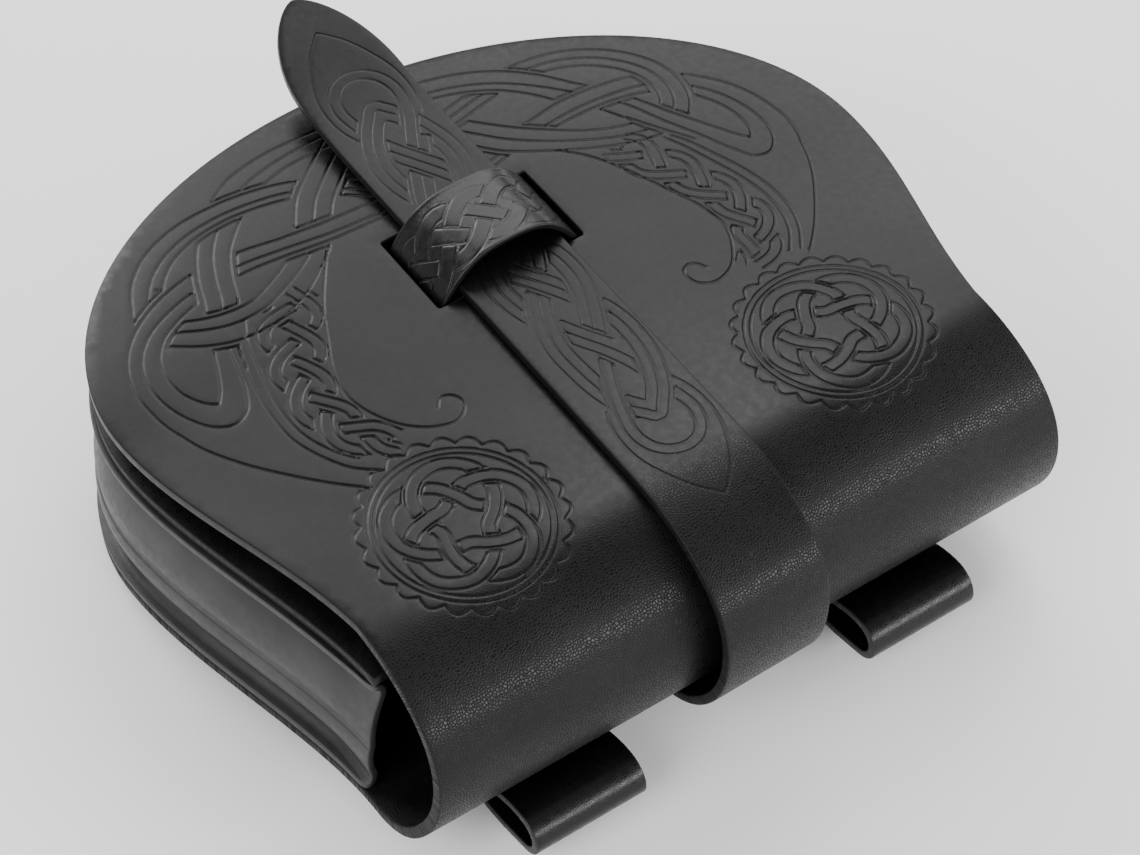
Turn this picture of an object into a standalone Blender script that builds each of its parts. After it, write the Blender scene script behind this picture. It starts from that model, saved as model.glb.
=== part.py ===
"""Belt pouch: a folded leather wrap with a soft body, a closing strap and two belt loops.

The pouch lies on its back. X is its width, +Y points to the rounded end with the
strap's tip, -Y to the fold, and +Z is up. The shapes are first drawn square to the
back panel, with the middle of the keeper at x = 0, y = 0 and the back's outer face
at z = 0. At the end everything is tilted onto its belt loops, as it lies on a table.
All lengths are in metres and all angles in degrees.
"""

import math

import bpy
from mathutils import Matrix, Vector

# Leather thicknesses
WRAP_WALL = 0.003
PANEL_WALL = 0.003
GUSSET_WALL = 0.002
STRAP_WALL = 0.0025
KEEPER_WALL = 0.0015
LOOP_WALL = 0.0022

# Gap kept between pieces that lie on each other
SEAM_GAP = 0.0003

# Outline shared by the flap, the back panel, the front panel and the gusset
WIDEST_Y = -0.005
WAIST_Y = -0.085
FLAP_HALF_WIDTH = 0.0985
FLAP_WAIST_HALF = 0.0830
FLAP_ROUND_LENGTH = 0.0705
BACK_HALF_WIDTH = 0.1018
BACK_WAIST_HALF = 0.0870
BACK_ROUND_LENGTH = 0.0715
PANEL_MARGIN = 0.0003

# The fold bulges to the right, and its right end reaches further out than the left
FOLD_BULGE_X = 0.0018
FOLD_SKEW = 0.012

# The rounded end sits a little askew: the left side reaches further than the right
SKEW = 0.066
SKEW_FROM = 0.022
SKEW_FULL = 0.062

# Thickness of the whole pouch, and of the body without the flap
DEPTH = 0.060
RIM_HEIGHT = 0.044
FLAP_CROWN = 0.005
PANEL_CROWN = 0.005
FLAP_FLAT_END_Y = -0.0761
MOUTH_PAST_FLAT = 0.0041
MOUTH_Y = FLAP_FLAT_END_Y - MOUTH_PAST_FLAT

# Window in the flap, and the keeper that stands through it
WINDOW_HALF_X = 0.0202
WINDOW_NEAR_Y = -0.0119
WINDOW_FAR_Y = 0.0130
KEEPER_HALF_X = 0.0192
KEEPER_NEAR_Y = -0.0114
KEEPER_FAR_Y = 0.0108
KEEPER_NEAR_CREST = 0.0109
KEEPER_FAR_CREST = 0.0102
KEEPER_NEAR_FULLNESS = 2.8
KEEPER_FAR_FULLNESS = 3.0
KEEPER_SPRING = 0.0015
KEEPER_FOOT = 0.009

# Closing strap
STRAP_HALF_WIDTH = 0.0140
STRAP_TIP_Y = 0.0832
STRAP_TIP_LENGTH = 0.028
STRAP_TIP_FULLNESS = 0.65
STRAP_LIFT_FROM_Y = 0.038
STRAP_TIP_LIFT = 0.0085
STRAP_BEND_PAST_FLAT = 0.0056
STRAP_TAIL_SHORT_OF_FLAT = 0.0181
STRAP_BEND_Y = FLAP_FLAT_END_Y - STRAP_BEND_PAST_FLAT
STRAP_TAIL_END_Y = FLAP_FLAT_END_Y + STRAP_TAIL_SHORT_OF_FLAT

# Belt loops
LOOP_WIDTH = 0.030
LOOP_CENTRE_X = 0.0473
LOOP_SEWN_LENGTH = 0.0262
LOOP_RISE_PAST_FLAT = 0.0111
LOOP_RISE_Y = FLAP_FLAT_END_Y - LOOP_RISE_PAST_FLAT
LOOP_RISE_TURN = 25
LOOP_RISE_RADIUS = 0.0210
LOOP_BEND_TURN = 167
LOOP_BEND_RADIUS = 0.0063
LOOP_SAG_LENGTH = 0.007
LOOP_SAG_RADIUS = 0.040
LOOP_FLAT_LENGTH = 0.022
LOOP_RAMP_LENGTH = 0.020
LOOP_END_LENGTH = 0.014

# Gusset: how far its wall stands in from the rims
GUSSET_SET_IN = 0.0036
GUSSET_LIP = 0.001

# Arcs of the fold, from the flap round to the back. The radii are shares of one
# another and are scaled together to the height that the fold has to span.
FOLD_ARCS = [
    {"turn": 85, "radius": 0.305},
    {"turn": 45, "radius": 0.352},
    {"turn": 50, "radius": 0.186},
]
STRAP_ARCS = [
    {"turn": 40, "radius": 0.396},
    {"turn": 45, "radius": 0.236},
    {"turn": 45, "radius": 0.419},
    {"turn": 50, "radius": 0.272},
]

# Section of the gusset from the back panel up to the front panel: the share of the
# height between its two flanges, and the share of GUSSET_SET_IN.
GUSSET_SECTION = [
    {"rise": 0.000, "inset": 0.00},
    {"rise": 0.000, "inset": 0.60},
    {"rise": 0.015, "inset": 0.90},
    {"rise": 0.060, "inset": 1.00},
    {"rise": 0.110, "inset": 0.72},
    {"rise": 0.180, "inset": 0.22},
    {"rise": 0.260, "inset": -0.08},
    {"rise": 0.340, "inset": -0.10},
    {"rise": 0.395, "inset": 0.00},
    {"rise": 0.430, "inset": 0.18},
    {"rise": 0.465, "inset": 0.00},
    {"rise": 0.550, "inset": -0.14},
    {"rise": 0.650, "inset": -0.08},
    {"rise": 0.780, "inset": 0.26},
    {"rise": 0.880, "inset": 0.76},
    {"rise": 0.945, "inset": 1.00},
    {"rise": 0.988, "inset": 0.90},
    {"rise": 1.000, "inset": 0.60},
    {"rise": 1.000, "inset": 0.00},
]

# How finely curves are cut into flat faces
ARC_STEP = 10
ROUND_ROWS = 10
RIM_CELLS = 30
SIDE_CELLS = 5
WINDOW_CELLS = 4
ROW_LENGTH = 0.011
TIP_ROW_LENGTH = 0.0045
STRAP_COLUMNS = 5
KEEPER_ROWS = 5
KEEPER_CELL = 0.0024
LOOP_COLUMNS = 4
RAMP_STEPS = 6

# The middle cells of a short row take at most this share of its half width
MIDDLE_SHARE = 0.45

# A wall is stretched at a sharp bend to stay even, but to no more than twice its thickness
LEAST_MITRE = 0.5

# Edges that turn by more than this are shaded sharp
SHARP_ANGLE = 35

LEATHERS = {
    "black_leather": {"colour": (0.045, 0.045, 0.047), "roughness": 0.45},
    "gusset_leather": {"colour": (0.075, 0.075, 0.078), "roughness": 0.40},
    "gloss_leather": {"colour": (0.018, 0.018, 0.019), "roughness": 0.25},
}

# Outlines in plan: an elliptical end, then sides that draw in to a waist by the fold
FLAP_OUTLINE = {"half": FLAP_HALF_WIDTH, "waist": FLAP_WAIST_HALF, "length": FLAP_ROUND_LENGTH}
BACK_OUTLINE = {"half": BACK_HALF_WIDTH, "waist": BACK_WAIST_HALF, "length": BACK_ROUND_LENGTH}
PANEL_OUTLINE = {name: size - PANEL_MARGIN for name, size in FLAP_OUTLINE.items()}


def ease(value):
    """Smooth step from 0 to 1."""
    t = min(1.0, max(0.0, value))
    return t * t * (3 - 2 * t)


def steps(start, end, length):
    """Evenly spaced values from start to end, about length apart."""
    count = max(1, round(abs(end - start) / length))
    return [start + (end - start) * k / count for k in range(count + 1)]


def clear_scene():
    for item in list(bpy.data.objects):
        bpy.data.objects.remove(item, do_unlink=True)


def leather(name):
    finish = LEATHERS[name]
    material = bpy.data.materials.new(name)
    material.use_nodes = True
    shader = material.node_tree.nodes["Principled BSDF"]
    shader.inputs["Base Color"].default_value = (*finish["colour"], 1.0)
    shader.inputs["Roughness"].default_value = finish["roughness"]
    shader.inputs["Metallic"].default_value = 0.0
    return material


def thicken(points, normals, faces, wall):
    """Close an open surface into a sheet: its inner side lies one wall below it."""
    count = len(points)
    inner = [p - n * wall for p, n in zip(points, normals)]
    closed = [tuple(face) for face in faces]
    closed += [tuple(count + i for i in reversed(face)) for face in faces]
    directed = {}
    for face in faces:
        for a, b in zip(face, face[1:] + face[:1]):
            directed[(a, b)] = True
    for a, b in directed:
        if (b, a) not in directed:
            closed.append((b, a, count + a, count + b))
    return list(points) + inner, closed


def add_sheet(name, points, normals, faces, wall, material):
    vertices, closed = thicken(points, normals, faces, wall)
    mesh = bpy.data.meshes.new(name)
    mesh.from_pydata([tuple(v) for v in vertices], [], closed)
    mesh.validate()
    mesh.shade_smooth()
    mesh.set_sharp_from_angle(angle=math.radians(SHARP_ANGLE))
    sheet = bpy.data.objects.new(name, mesh)
    sheet.data.materials.append(material)
    bpy.context.collection.objects.link(sheet)
    return sheet


def grid_faces(rows, columns, hole=None):
    """Quads of a grid whose points are numbered row by row, looked at from outside."""
    faces = []
    for r in range(rows - 1):
        for c in range(columns - 1):
            if hole and hole(r, c):
                continue
            a = r * columns + c
            faces.append([a, a + 1, a + columns + 1, a + columns])
    return faces


def merge_tip(points, normals, faces, columns):
    """Make the first row of a grid, which has no width, one point."""
    def new_index(i):
        return 0 if i < columns else i - columns + 1

    kept = []
    for face in faces:
        ring = []
        for i in face:
            if new_index(i) not in ring:
                ring.append(new_index(i))
        kept.append(ring)
    return points[:1] + points[columns:], normals[:1] + normals[columns:], kept


def merge_ends(points, normals, faces, columns):
    """Make the first and the last row of a grid, which have no width, one point each."""
    points, normals, faces = merge_tip(points, normals, faces, columns)
    last = len(points) - columns
    kept = []
    for face in faces:
        ring = []
        for i in face:
            if min(i, last) not in ring:
                ring.append(min(i, last))
        kept.append(ring)
    return points[:last + 1], normals[:last + 1], kept


def add_arc(path, turn, radius):
    """Carry a path of (y, z, heading) on along an arc; a positive turn goes from -Y to -Z."""
    y, z, heading = path[-1]
    pieces = max(1, math.ceil(abs(turn) / ARC_STEP))
    part = math.radians(turn) / pieces
    chord = 2 * radius * math.sin(abs(part) / 2)
    for _ in range(pieces):
        y += chord * math.cos(heading + part / 2)
        z += chord * math.sin(heading + part / 2)
        heading += part
        path.append((y, z, heading))


def add_line(path, length):
    y, z, heading = path[-1]
    path.append((y + length * math.cos(heading), z + length * math.sin(heading), heading))


def turned_path(start, arcs, drop):
    """Joined arcs that turn from -Y down to +Y, scaled to fall by a drop in height."""
    heading = math.pi
    fall = 0.0
    for arc in arcs:
        end = heading + math.radians(arc["turn"])
        fall += arc["radius"] * (math.cos(end) - math.cos(heading))
        heading = end
    path = [(*start, math.pi)]
    for arc in arcs:
        add_arc(path, arc["turn"], arc["radius"] * drop / fall)
    return path


def outward(heading):
    """Outer side of a path in the YZ plane that runs along a heading."""
    return Vector((0.0, math.sin(heading), -math.cos(heading)))


def side_share(y):
    """0 at the waist by the fold, 1 from the widest line on."""
    return ease((y - WAIST_Y) / (WIDEST_Y - WAIST_Y))


def half_width(shape, y):
    return shape["waist"] + (shape["half"] - shape["waist"]) * side_share(y)


def fold_skew(x):
    """How much further out the fold reaches at a place across it than at its left end."""
    return FOLD_SKEW * (x + FLAP_WAIST_HALF)


def skewed(x, y):
    """The y of a point of the soft body, moved by the skew of its rounded end and its fold."""
    reach = ease((math.hypot(x, y) - SKEW_FROM) / (SKEW_FULL - SKEW_FROM))
    side = side_share(y)
    return y - SKEW * x * reach * side - fold_skew(x) * (1 - side)


def swell(x, y, shape):
    """0 in the middle of the body, 1 on its outline."""
    past = max(0.0, y - WIDEST_Y) / shape["length"]
    return (x / half_width(shape, y)) ** 2 + past ** 2


def rim_rows(shape, end_y, marks=()):
    """Rows of an outline, each a y and a half width, from its tip towards the fold."""
    rows = []
    for k in range(ROUND_ROWS):
        angle = math.radians(90 - 90 * k / ROUND_ROWS)
        rows.append((WIDEST_Y + shape["length"] * math.sin(angle), shape["half"] * math.cos(angle)))
    for mark in marks:
        if mark > WIDEST_Y:
            share = (mark - WIDEST_Y) / shape["length"]
            rows.append((mark, shape["half"] * math.sqrt(1 - share * share)))
    rows.sort(reverse=True)
    stops = [WIDEST_Y] + sorted((m for m in marks if m < WIDEST_Y), reverse=True) + [end_y]
    rows.append((WIDEST_Y, shape["half"]))
    for a, b in zip(stops, stops[1:]):
        rows += [(y, half_width(shape, y)) for y in steps(a, b, ROW_LENGTH)[1:]]
    return rows


def column_places(half, inner):
    """Places across a row, with the middle cells as wide as the window where the row has room."""
    middle = min(inner, MIDDLE_SHARE * half)
    left = [-half + (half - middle) * k / SIDE_CELLS for k in range(SIDE_CELLS)]
    centre = [middle * (2 * k / WINDOW_CELLS - 1) for k in range(WINDOW_CELLS + 1)]
    return left + centre + [-x for x in reversed(left)]


def flap_height(x, y):
    """Outer face of the flap over a place in plan."""
    fade = ease((y - FLAP_FLAT_END_Y) / (WIDEST_Y - FLAP_FLAT_END_Y))
    return DEPTH - FLAP_CROWN * swell(x, y, FLAP_OUTLINE) * fade


def panel_height(x, y):
    """Outer face of the front panel over a place in plan."""
    return RIM_HEIGHT + PANEL_CROWN * max(0.0, 1 - swell(x, y, PANEL_OUTLINE))


def make_wrap(material):
    """Flap, fold and back panel in one piece, with the window in the flap."""
    up = Vector((0, 0, 1))
    rows = []
    for y, half in rim_rows(FLAP_OUTLINE, FLAP_FLAT_END_Y, (WINDOW_NEAR_Y, WINDOW_FAR_Y)):
        rows.append({"part": "flap", "y": y, "half": half, "middle": 0.0, "normal": up})
    fold = turned_path((FLAP_FLAT_END_Y, DEPTH), FOLD_ARCS, DEPTH)
    start = rows[-1]["half"]
    back = rim_rows(BACK_OUTLINE, fold[-1][0])
    for k, (y, z, heading) in enumerate(fold[1:], 1):
        share = k / (len(fold) - 1)
        half = start + (back[-1][1] - start) * ease(share)
        middle = FOLD_BULGE_X * math.sin(math.pi * share) ** 2
        rows.append({"part": "fold", "y": y, "z": z, "half": half, "middle": middle,
                     "normal": outward(heading)})
    for y, half in back[-2::-1]:
        rows.append({"part": "back", "y": y, "half": half, "middle": 0.0, "normal": -up})
    points = []
    normals = []
    for row in rows:
        for across in column_places(row["half"], WINDOW_HALF_X):
            x = row["middle"] + across
            y = row["y"]
            if row["part"] == "fold":
                points.append(Vector((x, skewed(x, y), row["z"])))
            elif row["part"] == "flap":
                points.append(Vector((x, skewed(x, y), flap_height(x, y))))
            else:
                points.append(Vector((x, skewed(x, y), 0.0)))
            normals.append(row["normal"])
    columns = 2 * SIDE_CELLS + WINDOW_CELLS + 1

    def in_window(r, c):
        if rows[r + 1]["part"] != "flap":
            return False
        between = rows[r]["y"] <= WINDOW_FAR_Y and rows[r + 1]["y"] >= WINDOW_NEAR_Y
        return between and SIDE_CELLS <= c < SIDE_CELLS + WINDOW_CELLS

    faces = [face[::-1] for face in grid_faces(len(rows), columns, in_window)]
    points, normals, faces = merge_ends(points, normals, faces, columns)
    return add_sheet("wrap", points, normals, faces, WRAP_WALL, material)


def make_front_panel(material):
    """Front of the pouch's body, crowned a little, under the flap."""
    rows = rim_rows(PANEL_OUTLINE, MOUTH_Y)
    points = []
    for y, half in rows:
        for x in column_places(half, WINDOW_HALF_X):
            points.append(Vector((x, skewed(x, y), panel_height(x, y))))
    normals = [Vector((0, 0, 1))] * len(points)
    columns = 2 * SIDE_CELLS + WINDOW_CELLS + 1
    faces = [face[::-1] for face in grid_faces(len(rows), columns)]
    points, normals, faces = merge_tip(points, normals, faces, columns)
    return add_sheet("front_panel", points, normals, faces, PANEL_WALL, material)


def rim_stations():
    """Stations round the body from the left of the mouth to its right."""
    stations = [{"y": y} for y in steps(MOUTH_Y, WIDEST_Y, ROW_LENGTH)]
    stations += [{"angle": 180 - 180 * k / RIM_CELLS} for k in range(1, RIM_CELLS)]
    right = [{"y": y, "right": True} for y in steps(WIDEST_Y, MOUTH_Y, ROW_LENGTH)]
    return stations + right


def rim_point(station, shape):
    """Point of an outline at a station, and the outline's outward direction there."""
    if "angle" in station:
        angle = math.radians(station["angle"])
        x = shape["half"] * math.cos(angle)
        y = WIDEST_Y + shape["length"] * math.sin(angle)
        out = Vector((shape["length"] * math.cos(angle), shape["half"] * math.sin(angle), 0))
        return x, y, out.normalized()
    side = 1 if station.get("right") else -1
    y = station["y"]
    span = WIDEST_Y - WAIST_Y
    share = (y - WAIST_Y) / span
    slope = (shape["half"] - shape["waist"]) * 6 * share * (1 - share) / span
    out = Vector((side, -slope, 0))
    return side * half_width(shape, y), y, out.normalized()


def section_normals(section):
    """Outer normals, with the stretch that keeps the wall even at each bend."""
    normals = []
    for k, point in enumerate(section):
        before = section[max(0, k - 1)]
        after = section[min(len(section) - 1, k + 1)]
        first = Vector(point) - Vector(before) if k else Vector(after) - Vector(point)
        second = Vector(after) - Vector(point) if k < len(section) - 1 else first
        first.normalize()
        second.normalize()
        along = (first + second).normalized()
        stretch = 1 / max(LEAST_MITRE, along.dot(first))
        normals.append(Vector((along.y, -along.x)) * stretch)
    return normals


def make_gusset(material):
    """Wall round the sides and the rounded end, with a flange to each panel."""
    low = WRAP_WALL + SEAM_GAP + GUSSET_WALL
    high = RIM_HEIGHT - PANEL_WALL - SEAM_GAP - GUSSET_WALL
    section = []
    for row in GUSSET_SECTION:
        lip = GUSSET_LIP if row["inset"] == 0 and row["rise"] == 1 else 0
        section.append((-row["inset"] * GUSSET_SET_IN + lip, low + (high - low) * row["rise"]))
    side_normals = section_normals(section)
    points = []
    normals = []
    stations = rim_stations()
    for station in stations:
        back_x, back_y, out = rim_point(station, BACK_OUTLINE)
        front_x, front_y, _ = rim_point(station, PANEL_OUTLINE)
        for row, (inset, z), normal in zip(GUSSET_SECTION, section, side_normals):
            x = back_x + (front_x - back_x) * row["rise"] + out.x * inset
            y = back_y + (front_y - back_y) * row["rise"] + out.y * inset
            points.append(Vector((x, skewed(x, y), z)))
            normals.append(out * normal.x + Vector((0, 0, normal.y)))
    faces = grid_faces(len(stations), len(GUSSET_SECTION))
    return add_sheet("gusset", points, normals, faces, GUSSET_WALL, material)


def strap_path():
    """Outer face of the strap from its tip, over the fold, to its tail on the back."""
    top = DEPTH + SEAM_GAP + STRAP_WALL
    bottom = -SEAM_GAP - STRAP_WALL
    lifted = STRAP_TIP_Y - STRAP_LIFT_FROM_Y
    path = []
    for y in steps(STRAP_TIP_Y, STRAP_LIFT_FROM_Y, TIP_ROW_LENGTH)[:-1]:
        share = (y - STRAP_LIFT_FROM_Y) / lifted
        slope = 2 * STRAP_TIP_LIFT * share / lifted
        path.append((y, top + STRAP_TIP_LIFT * share ** 2, math.pi + math.atan(slope)))
    for y in steps(STRAP_LIFT_FROM_Y, STRAP_BEND_Y, ROW_LENGTH)[:-1]:
        path.append((y, top, math.pi))
    path += turned_path((STRAP_BEND_Y, top), STRAP_ARCS, top - bottom)
    for y in steps(path[-1][0], STRAP_TAIL_END_Y, ROW_LENGTH)[1:]:
        path.append((y, bottom, 2 * math.pi))
    return path


def make_strap(material):
    """Closing strap with its pointed tip, held on the back by its tail."""
    path = strap_path()
    points = []
    normals = []
    travelled = 0.0
    for k, (y, z, heading) in enumerate(path):
        if k:
            travelled += math.dist(path[k - 1][:2], (y, z))
        share = max(0.0, 1 - travelled / STRAP_TIP_LENGTH)
        half = STRAP_HALF_WIDTH * (1 - share * share) ** STRAP_TIP_FULLNESS
        for c in range(STRAP_COLUMNS):
            points.append(Vector((half * (2 * c / (STRAP_COLUMNS - 1) - 1), y, z)))
            normals.append(outward(heading))
    faces = [face[::-1] for face in grid_faces(len(path), STRAP_COLUMNS)]
    points, normals, faces = merge_tip(points, normals, faces, STRAP_COLUMNS)
    return add_sheet("strap", points, normals, faces, STRAP_WALL, material)


def keeper_section(share):
    """Outer face of the keeper across the pouch, at a share of its length from the near edge."""
    crest = KEEPER_NEAR_CREST + (KEEPER_FAR_CREST - KEEPER_NEAR_CREST) * share
    fullness = KEEPER_NEAR_FULLNESS + (KEEPER_FAR_FULLNESS - KEEPER_NEAR_FULLNESS) * share
    base = DEPTH - KEEPER_SPRING
    foot = panel_height(KEEPER_HALF_X, 0) + SEAM_GAP + KEEPER_WALL
    arch = []
    for x in steps(-KEEPER_HALF_X, KEEPER_HALF_X, KEEPER_CELL):
        rise = 1 - abs(x / KEEPER_HALF_X) ** fullness
        arch.append((x, base + (crest + KEEPER_SPRING) * rise))
    left = [(-KEEPER_HALF_X - KEEPER_FOOT, foot), (-KEEPER_HALF_X, foot)]
    right = [(-x, z) for x, z in reversed(left)]
    return left + arch + right


def make_keeper(material):
    """Arched band that holds the strap; its feet are sewn to the front panel."""
    points = []
    normals = []
    for r in range(KEEPER_ROWS):
        share = r / (KEEPER_ROWS - 1)
        y = KEEPER_NEAR_Y + (KEEPER_FAR_Y - KEEPER_NEAR_Y) * share
        section = keeper_section(share)
        for (x, z), normal in zip(section, section_normals(section)):
            points.append(Vector((x, y, z)))
            normals.append(Vector((-normal.x, 0, -normal.y)))
    faces = grid_faces(KEEPER_ROWS, len(section))
    return add_sheet("keeper", points, normals, faces, KEEPER_WALL, material)


def loop_start():
    """A belt loop's outer face from its sewn end, round its bend, to the sag of its lower leg."""
    path = [(LOOP_RISE_Y + LOOP_SEWN_LENGTH, -SEAM_GAP, math.pi)]
    add_line(path, LOOP_SEWN_LENGTH)
    add_arc(path, -LOOP_RISE_TURN, LOOP_RISE_RADIUS)
    add_arc(path, LOOP_RISE_TURN, LOOP_RISE_RADIUS)
    add_arc(path, LOOP_BEND_TURN, LOOP_BEND_RADIUS)
    add_line(path, LOOP_SAG_LENGTH)
    return path


def rest_tilt():
    """Angle between the back panel and a table under the loops and the far end."""
    y, z, heading = loop_start()[-1]
    centre = Vector((0.0, y, z)) - outward(heading) * LOOP_SAG_RADIUS
    run = WIDEST_Y + BACK_ROUND_LENGTH - centre.y
    return math.atan2(-centre.z, run) + math.asin(LOOP_SAG_RADIUS / math.hypot(run, centre.z))


def loop_path():
    """Outer face of a belt loop, down to the lower leg that meets the table and back up."""
    tilt = rest_tilt()
    path = loop_start()
    add_arc(path, 180 - LOOP_BEND_TURN + math.degrees(tilt), LOOP_SAG_RADIUS)
    add_line(path, LOOP_FLAT_LENGTH)
    y, z, heading = path[-1]
    seat = -SEAM_GAP - LOOP_WALL
    for k in range(1, RAMP_STEPS + 1):
        share = k / RAMP_STEPS
        level = z + LOOP_RAMP_LENGTH * share * math.tan(tilt)
        place = (y + LOOP_RAMP_LENGTH * share, level + (seat - level) * ease(share))
        slope = math.atan2(place[1] - path[-1][1], place[0] - path[-1][0])
        path.append((*place, 2 * math.pi + (slope if k < RAMP_STEPS else 0)))
    add_line(path, LOOP_END_LENGTH)
    return path


def make_belt_loop(name, side, material):
    """Strip folded into a flat U, sewn to the back panel at both of its ends."""
    path = loop_path()
    points = []
    normals = []
    for y, z, heading in path:
        for c in range(LOOP_COLUMNS):
            x = side * LOOP_CENTRE_X + LOOP_WIDTH * (c / (LOOP_COLUMNS - 1) - 0.5)
            points.append(Vector((x, y - fold_skew(x), z)))
            normals.append(outward(heading))
    faces = [face[::-1] for face in grid_faces(len(path), LOOP_COLUMNS)]
    return add_sheet(name, points, normals, faces, LOOP_WALL, material)


def lay_on_table(pieces):
    """Tilt the pouch onto its loops, put its box's bottom centre at the origin, and tell how."""
    turn = Matrix.Rotation(-rest_tilt(), 4, "X")
    for piece in pieces:
        piece.data.transform(turn)
    corners = [vertex.co for piece in pieces for vertex in piece.data.vertices]
    low = Vector([min(c[axis] for c in corners) for axis in range(3)])
    high = Vector([max(c[axis] for c in corners) for axis in range(3)])
    middle = (low + high) / 2
    shift = Matrix.Translation((-middle.x, -middle.y, -low.z))
    for piece in pieces:
        piece.data.transform(shift)
    return shift.translation


def main():
    clear_scene()
    black = leather("black_leather")
    side = leather("gusset_leather")
    gloss = leather("gloss_leather")
    pieces = [
        make_wrap(black),
        make_front_panel(black),
        make_gusset(side),
        make_strap(black),
        make_keeper(gloss),
        make_belt_loop("belt_loop_left", -1, gloss),
        make_belt_loop("belt_loop_right", 1, gloss),
    ]
    shift = lay_on_table(pieces)
    print("tilt", round(math.degrees(rest_tilt()), 3), "shift", [round(v, 5) for v in shift])
    for piece in pieces:
        print(piece.name, len(piece.data.polygons), "faces")


main()
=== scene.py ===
import math

import bpy
import numpy as np
from mathutils import Matrix, Vector
from mathutils.geometry import delaunay_2d_cdt
from mathutils.kdtree import KDTree


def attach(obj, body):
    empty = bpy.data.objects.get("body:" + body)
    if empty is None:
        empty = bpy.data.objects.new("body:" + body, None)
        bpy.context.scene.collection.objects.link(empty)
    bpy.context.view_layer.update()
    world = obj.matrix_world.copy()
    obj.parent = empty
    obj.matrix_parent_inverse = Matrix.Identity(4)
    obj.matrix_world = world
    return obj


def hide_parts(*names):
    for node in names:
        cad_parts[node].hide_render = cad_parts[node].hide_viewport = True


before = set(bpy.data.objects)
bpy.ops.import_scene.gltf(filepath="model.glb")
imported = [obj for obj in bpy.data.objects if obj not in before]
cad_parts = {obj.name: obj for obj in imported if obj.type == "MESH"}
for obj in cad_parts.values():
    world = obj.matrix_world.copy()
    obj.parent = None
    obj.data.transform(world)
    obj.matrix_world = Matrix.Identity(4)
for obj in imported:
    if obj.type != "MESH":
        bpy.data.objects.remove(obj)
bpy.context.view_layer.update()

# All lengths below are in millimetres, all angles in degrees.
# The pieces are drawn square to the back panel: x across, y towards the rounded end,
# z up from the back's outer face, with the keeper's middle at x = 0, y = 0.
mm = 0.001
tiny = 1e-12

pouch = {
    "tilt": 4.192,  # how far the belt loops tip the pouch as it lies
    "shiftY": 12.05,  # from the keeper's middle to the middle of the pouch's box
    "shiftZ": 4.87,
    "depth": 60.0,  # back's outer face to the flap's outer face
    "rimHeight": 44.0,  # the same to the front panel's outer face
    "flapCrown": 5.0,
    "panelCrown": 5.0,
    "widestY": -5.0,
    "waistY": -85.0,
    "flatEndY": -76.1,  # where the flap starts to turn down
    "seamGap": 0.3,
    "skew": 0.066,  # the rounded end leans a little to one side
    "skewFrom": 22.0,
    "skewFull": 62.0,
    "foldSkew": 0.012,
    "foldBulge": 1.8,
}
flapShape = {"half": 98.5, "waist": 83.0, "length": 70.5}
backShape = {"half": 101.8, "waist": 87.0, "length": 71.5}
panelShape = {"half": 98.2, "waist": 82.7, "length": 70.2}


def turnedFrame():
    # the pouch as drawn, tipped onto its loops and moved to the frame's origin
    turn = Matrix.Rotation(math.radians(-pouch["tilt"]), 4, "X")
    return Matrix.Translation((0, pouch["shiftY"] * mm, pouch["shiftZ"] * mm)) @ turn


lying = turnedFrame()


def ease(value):
    t = np.clip(value, 0.0, 1.0)
    return t * t * (3 - 2 * t)


def sideShare(y):
    return ease((y - pouch["waistY"]) / (pouch["widestY"] - pouch["waistY"]))


def halfWidth(shape, y):
    return shape["waist"] + (shape["half"] - shape["waist"]) * sideShare(y)


def foldSkew(x):
    return pouch["foldSkew"] * (x + flapShape["waist"])


def skewed(x, y):
    reach = ease((np.hypot(x, y) - pouch["skewFrom"]) / (pouch["skewFull"] - pouch["skewFrom"]))
    side = sideShare(y)
    return y - pouch["skew"] * x * reach * side - foldSkew(x) * (1 - side)


def swell(x, y, shape):
    past = np.maximum(0.0, y - pouch["widestY"]) / shape["length"]
    return (x / halfWidth(shape, y)) ** 2 + past ** 2


def flapHeight(x, y):
    fade = ease((y - pouch["flatEndY"]) / (pouch["widestY"] - pouch["flatEndY"]))
    return pouch["depth"] - pouch["flapCrown"] * swell(x, y, flapShape) * fade


def panelHeight(x, y):
    return pouch["rimHeight"] + pouch["panelCrown"] * np.maximum(0.0, 1 - swell(x, y, panelShape))


class SidePath:
    # a line in the y-z plane that a strip of leather follows: rows of length, y, z, heading
    def __init__(self, y, z, heading=math.pi):
        self.rows = [(0.0, y, z, heading)]

    def go(self, run, chord, turn=0.0):
        s, y, z, heading = self.rows[-1]
        toward = heading + turn / 2
        self.rows.append((s + run, y + chord * math.cos(toward), z + chord * math.sin(toward),
                          heading + turn))

    def line(self, length):
        self.go(length, length)

    def arc(self, turn, radius, step=3.0):
        parts = max(1, math.ceil(abs(turn) / step))
        part = math.radians(turn) / parts
        for _ in range(parts):
            self.go(radius * abs(part), 2 * radius * math.sin(abs(part) / 2), part)

    def fall(self, arcs, drop):
        # joined arcs, scaled together to come down by a drop
        heading = self.rows[-1][3]
        total = 0.0
        for turn, radius in arcs:
            end = heading + math.radians(turn)
            total += radius * (math.cos(end) - math.cos(heading))
            heading = end
        for turn, radius in arcs:
            self.arc(turn, radius * drop / total)

    def to(self, y, z, heading):
        s, oldY, oldZ, _ = self.rows[-1]
        self.rows.append((s + math.hypot(y - oldY, z - oldZ), y, z, heading))

    def table(self):
        return np.array(self.rows)


def along(table, s):
    # place and heading at a length along a path, carried on straight past both ends
    inside = np.clip(s, table[0, 0], table[-1, 0])
    y, z, heading = (np.interp(inside, table[:, 0], table[:, k]) for k in (1, 2, 3))
    past = s - inside
    return y + past * np.cos(heading), z + past * np.sin(heading), heading


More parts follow.
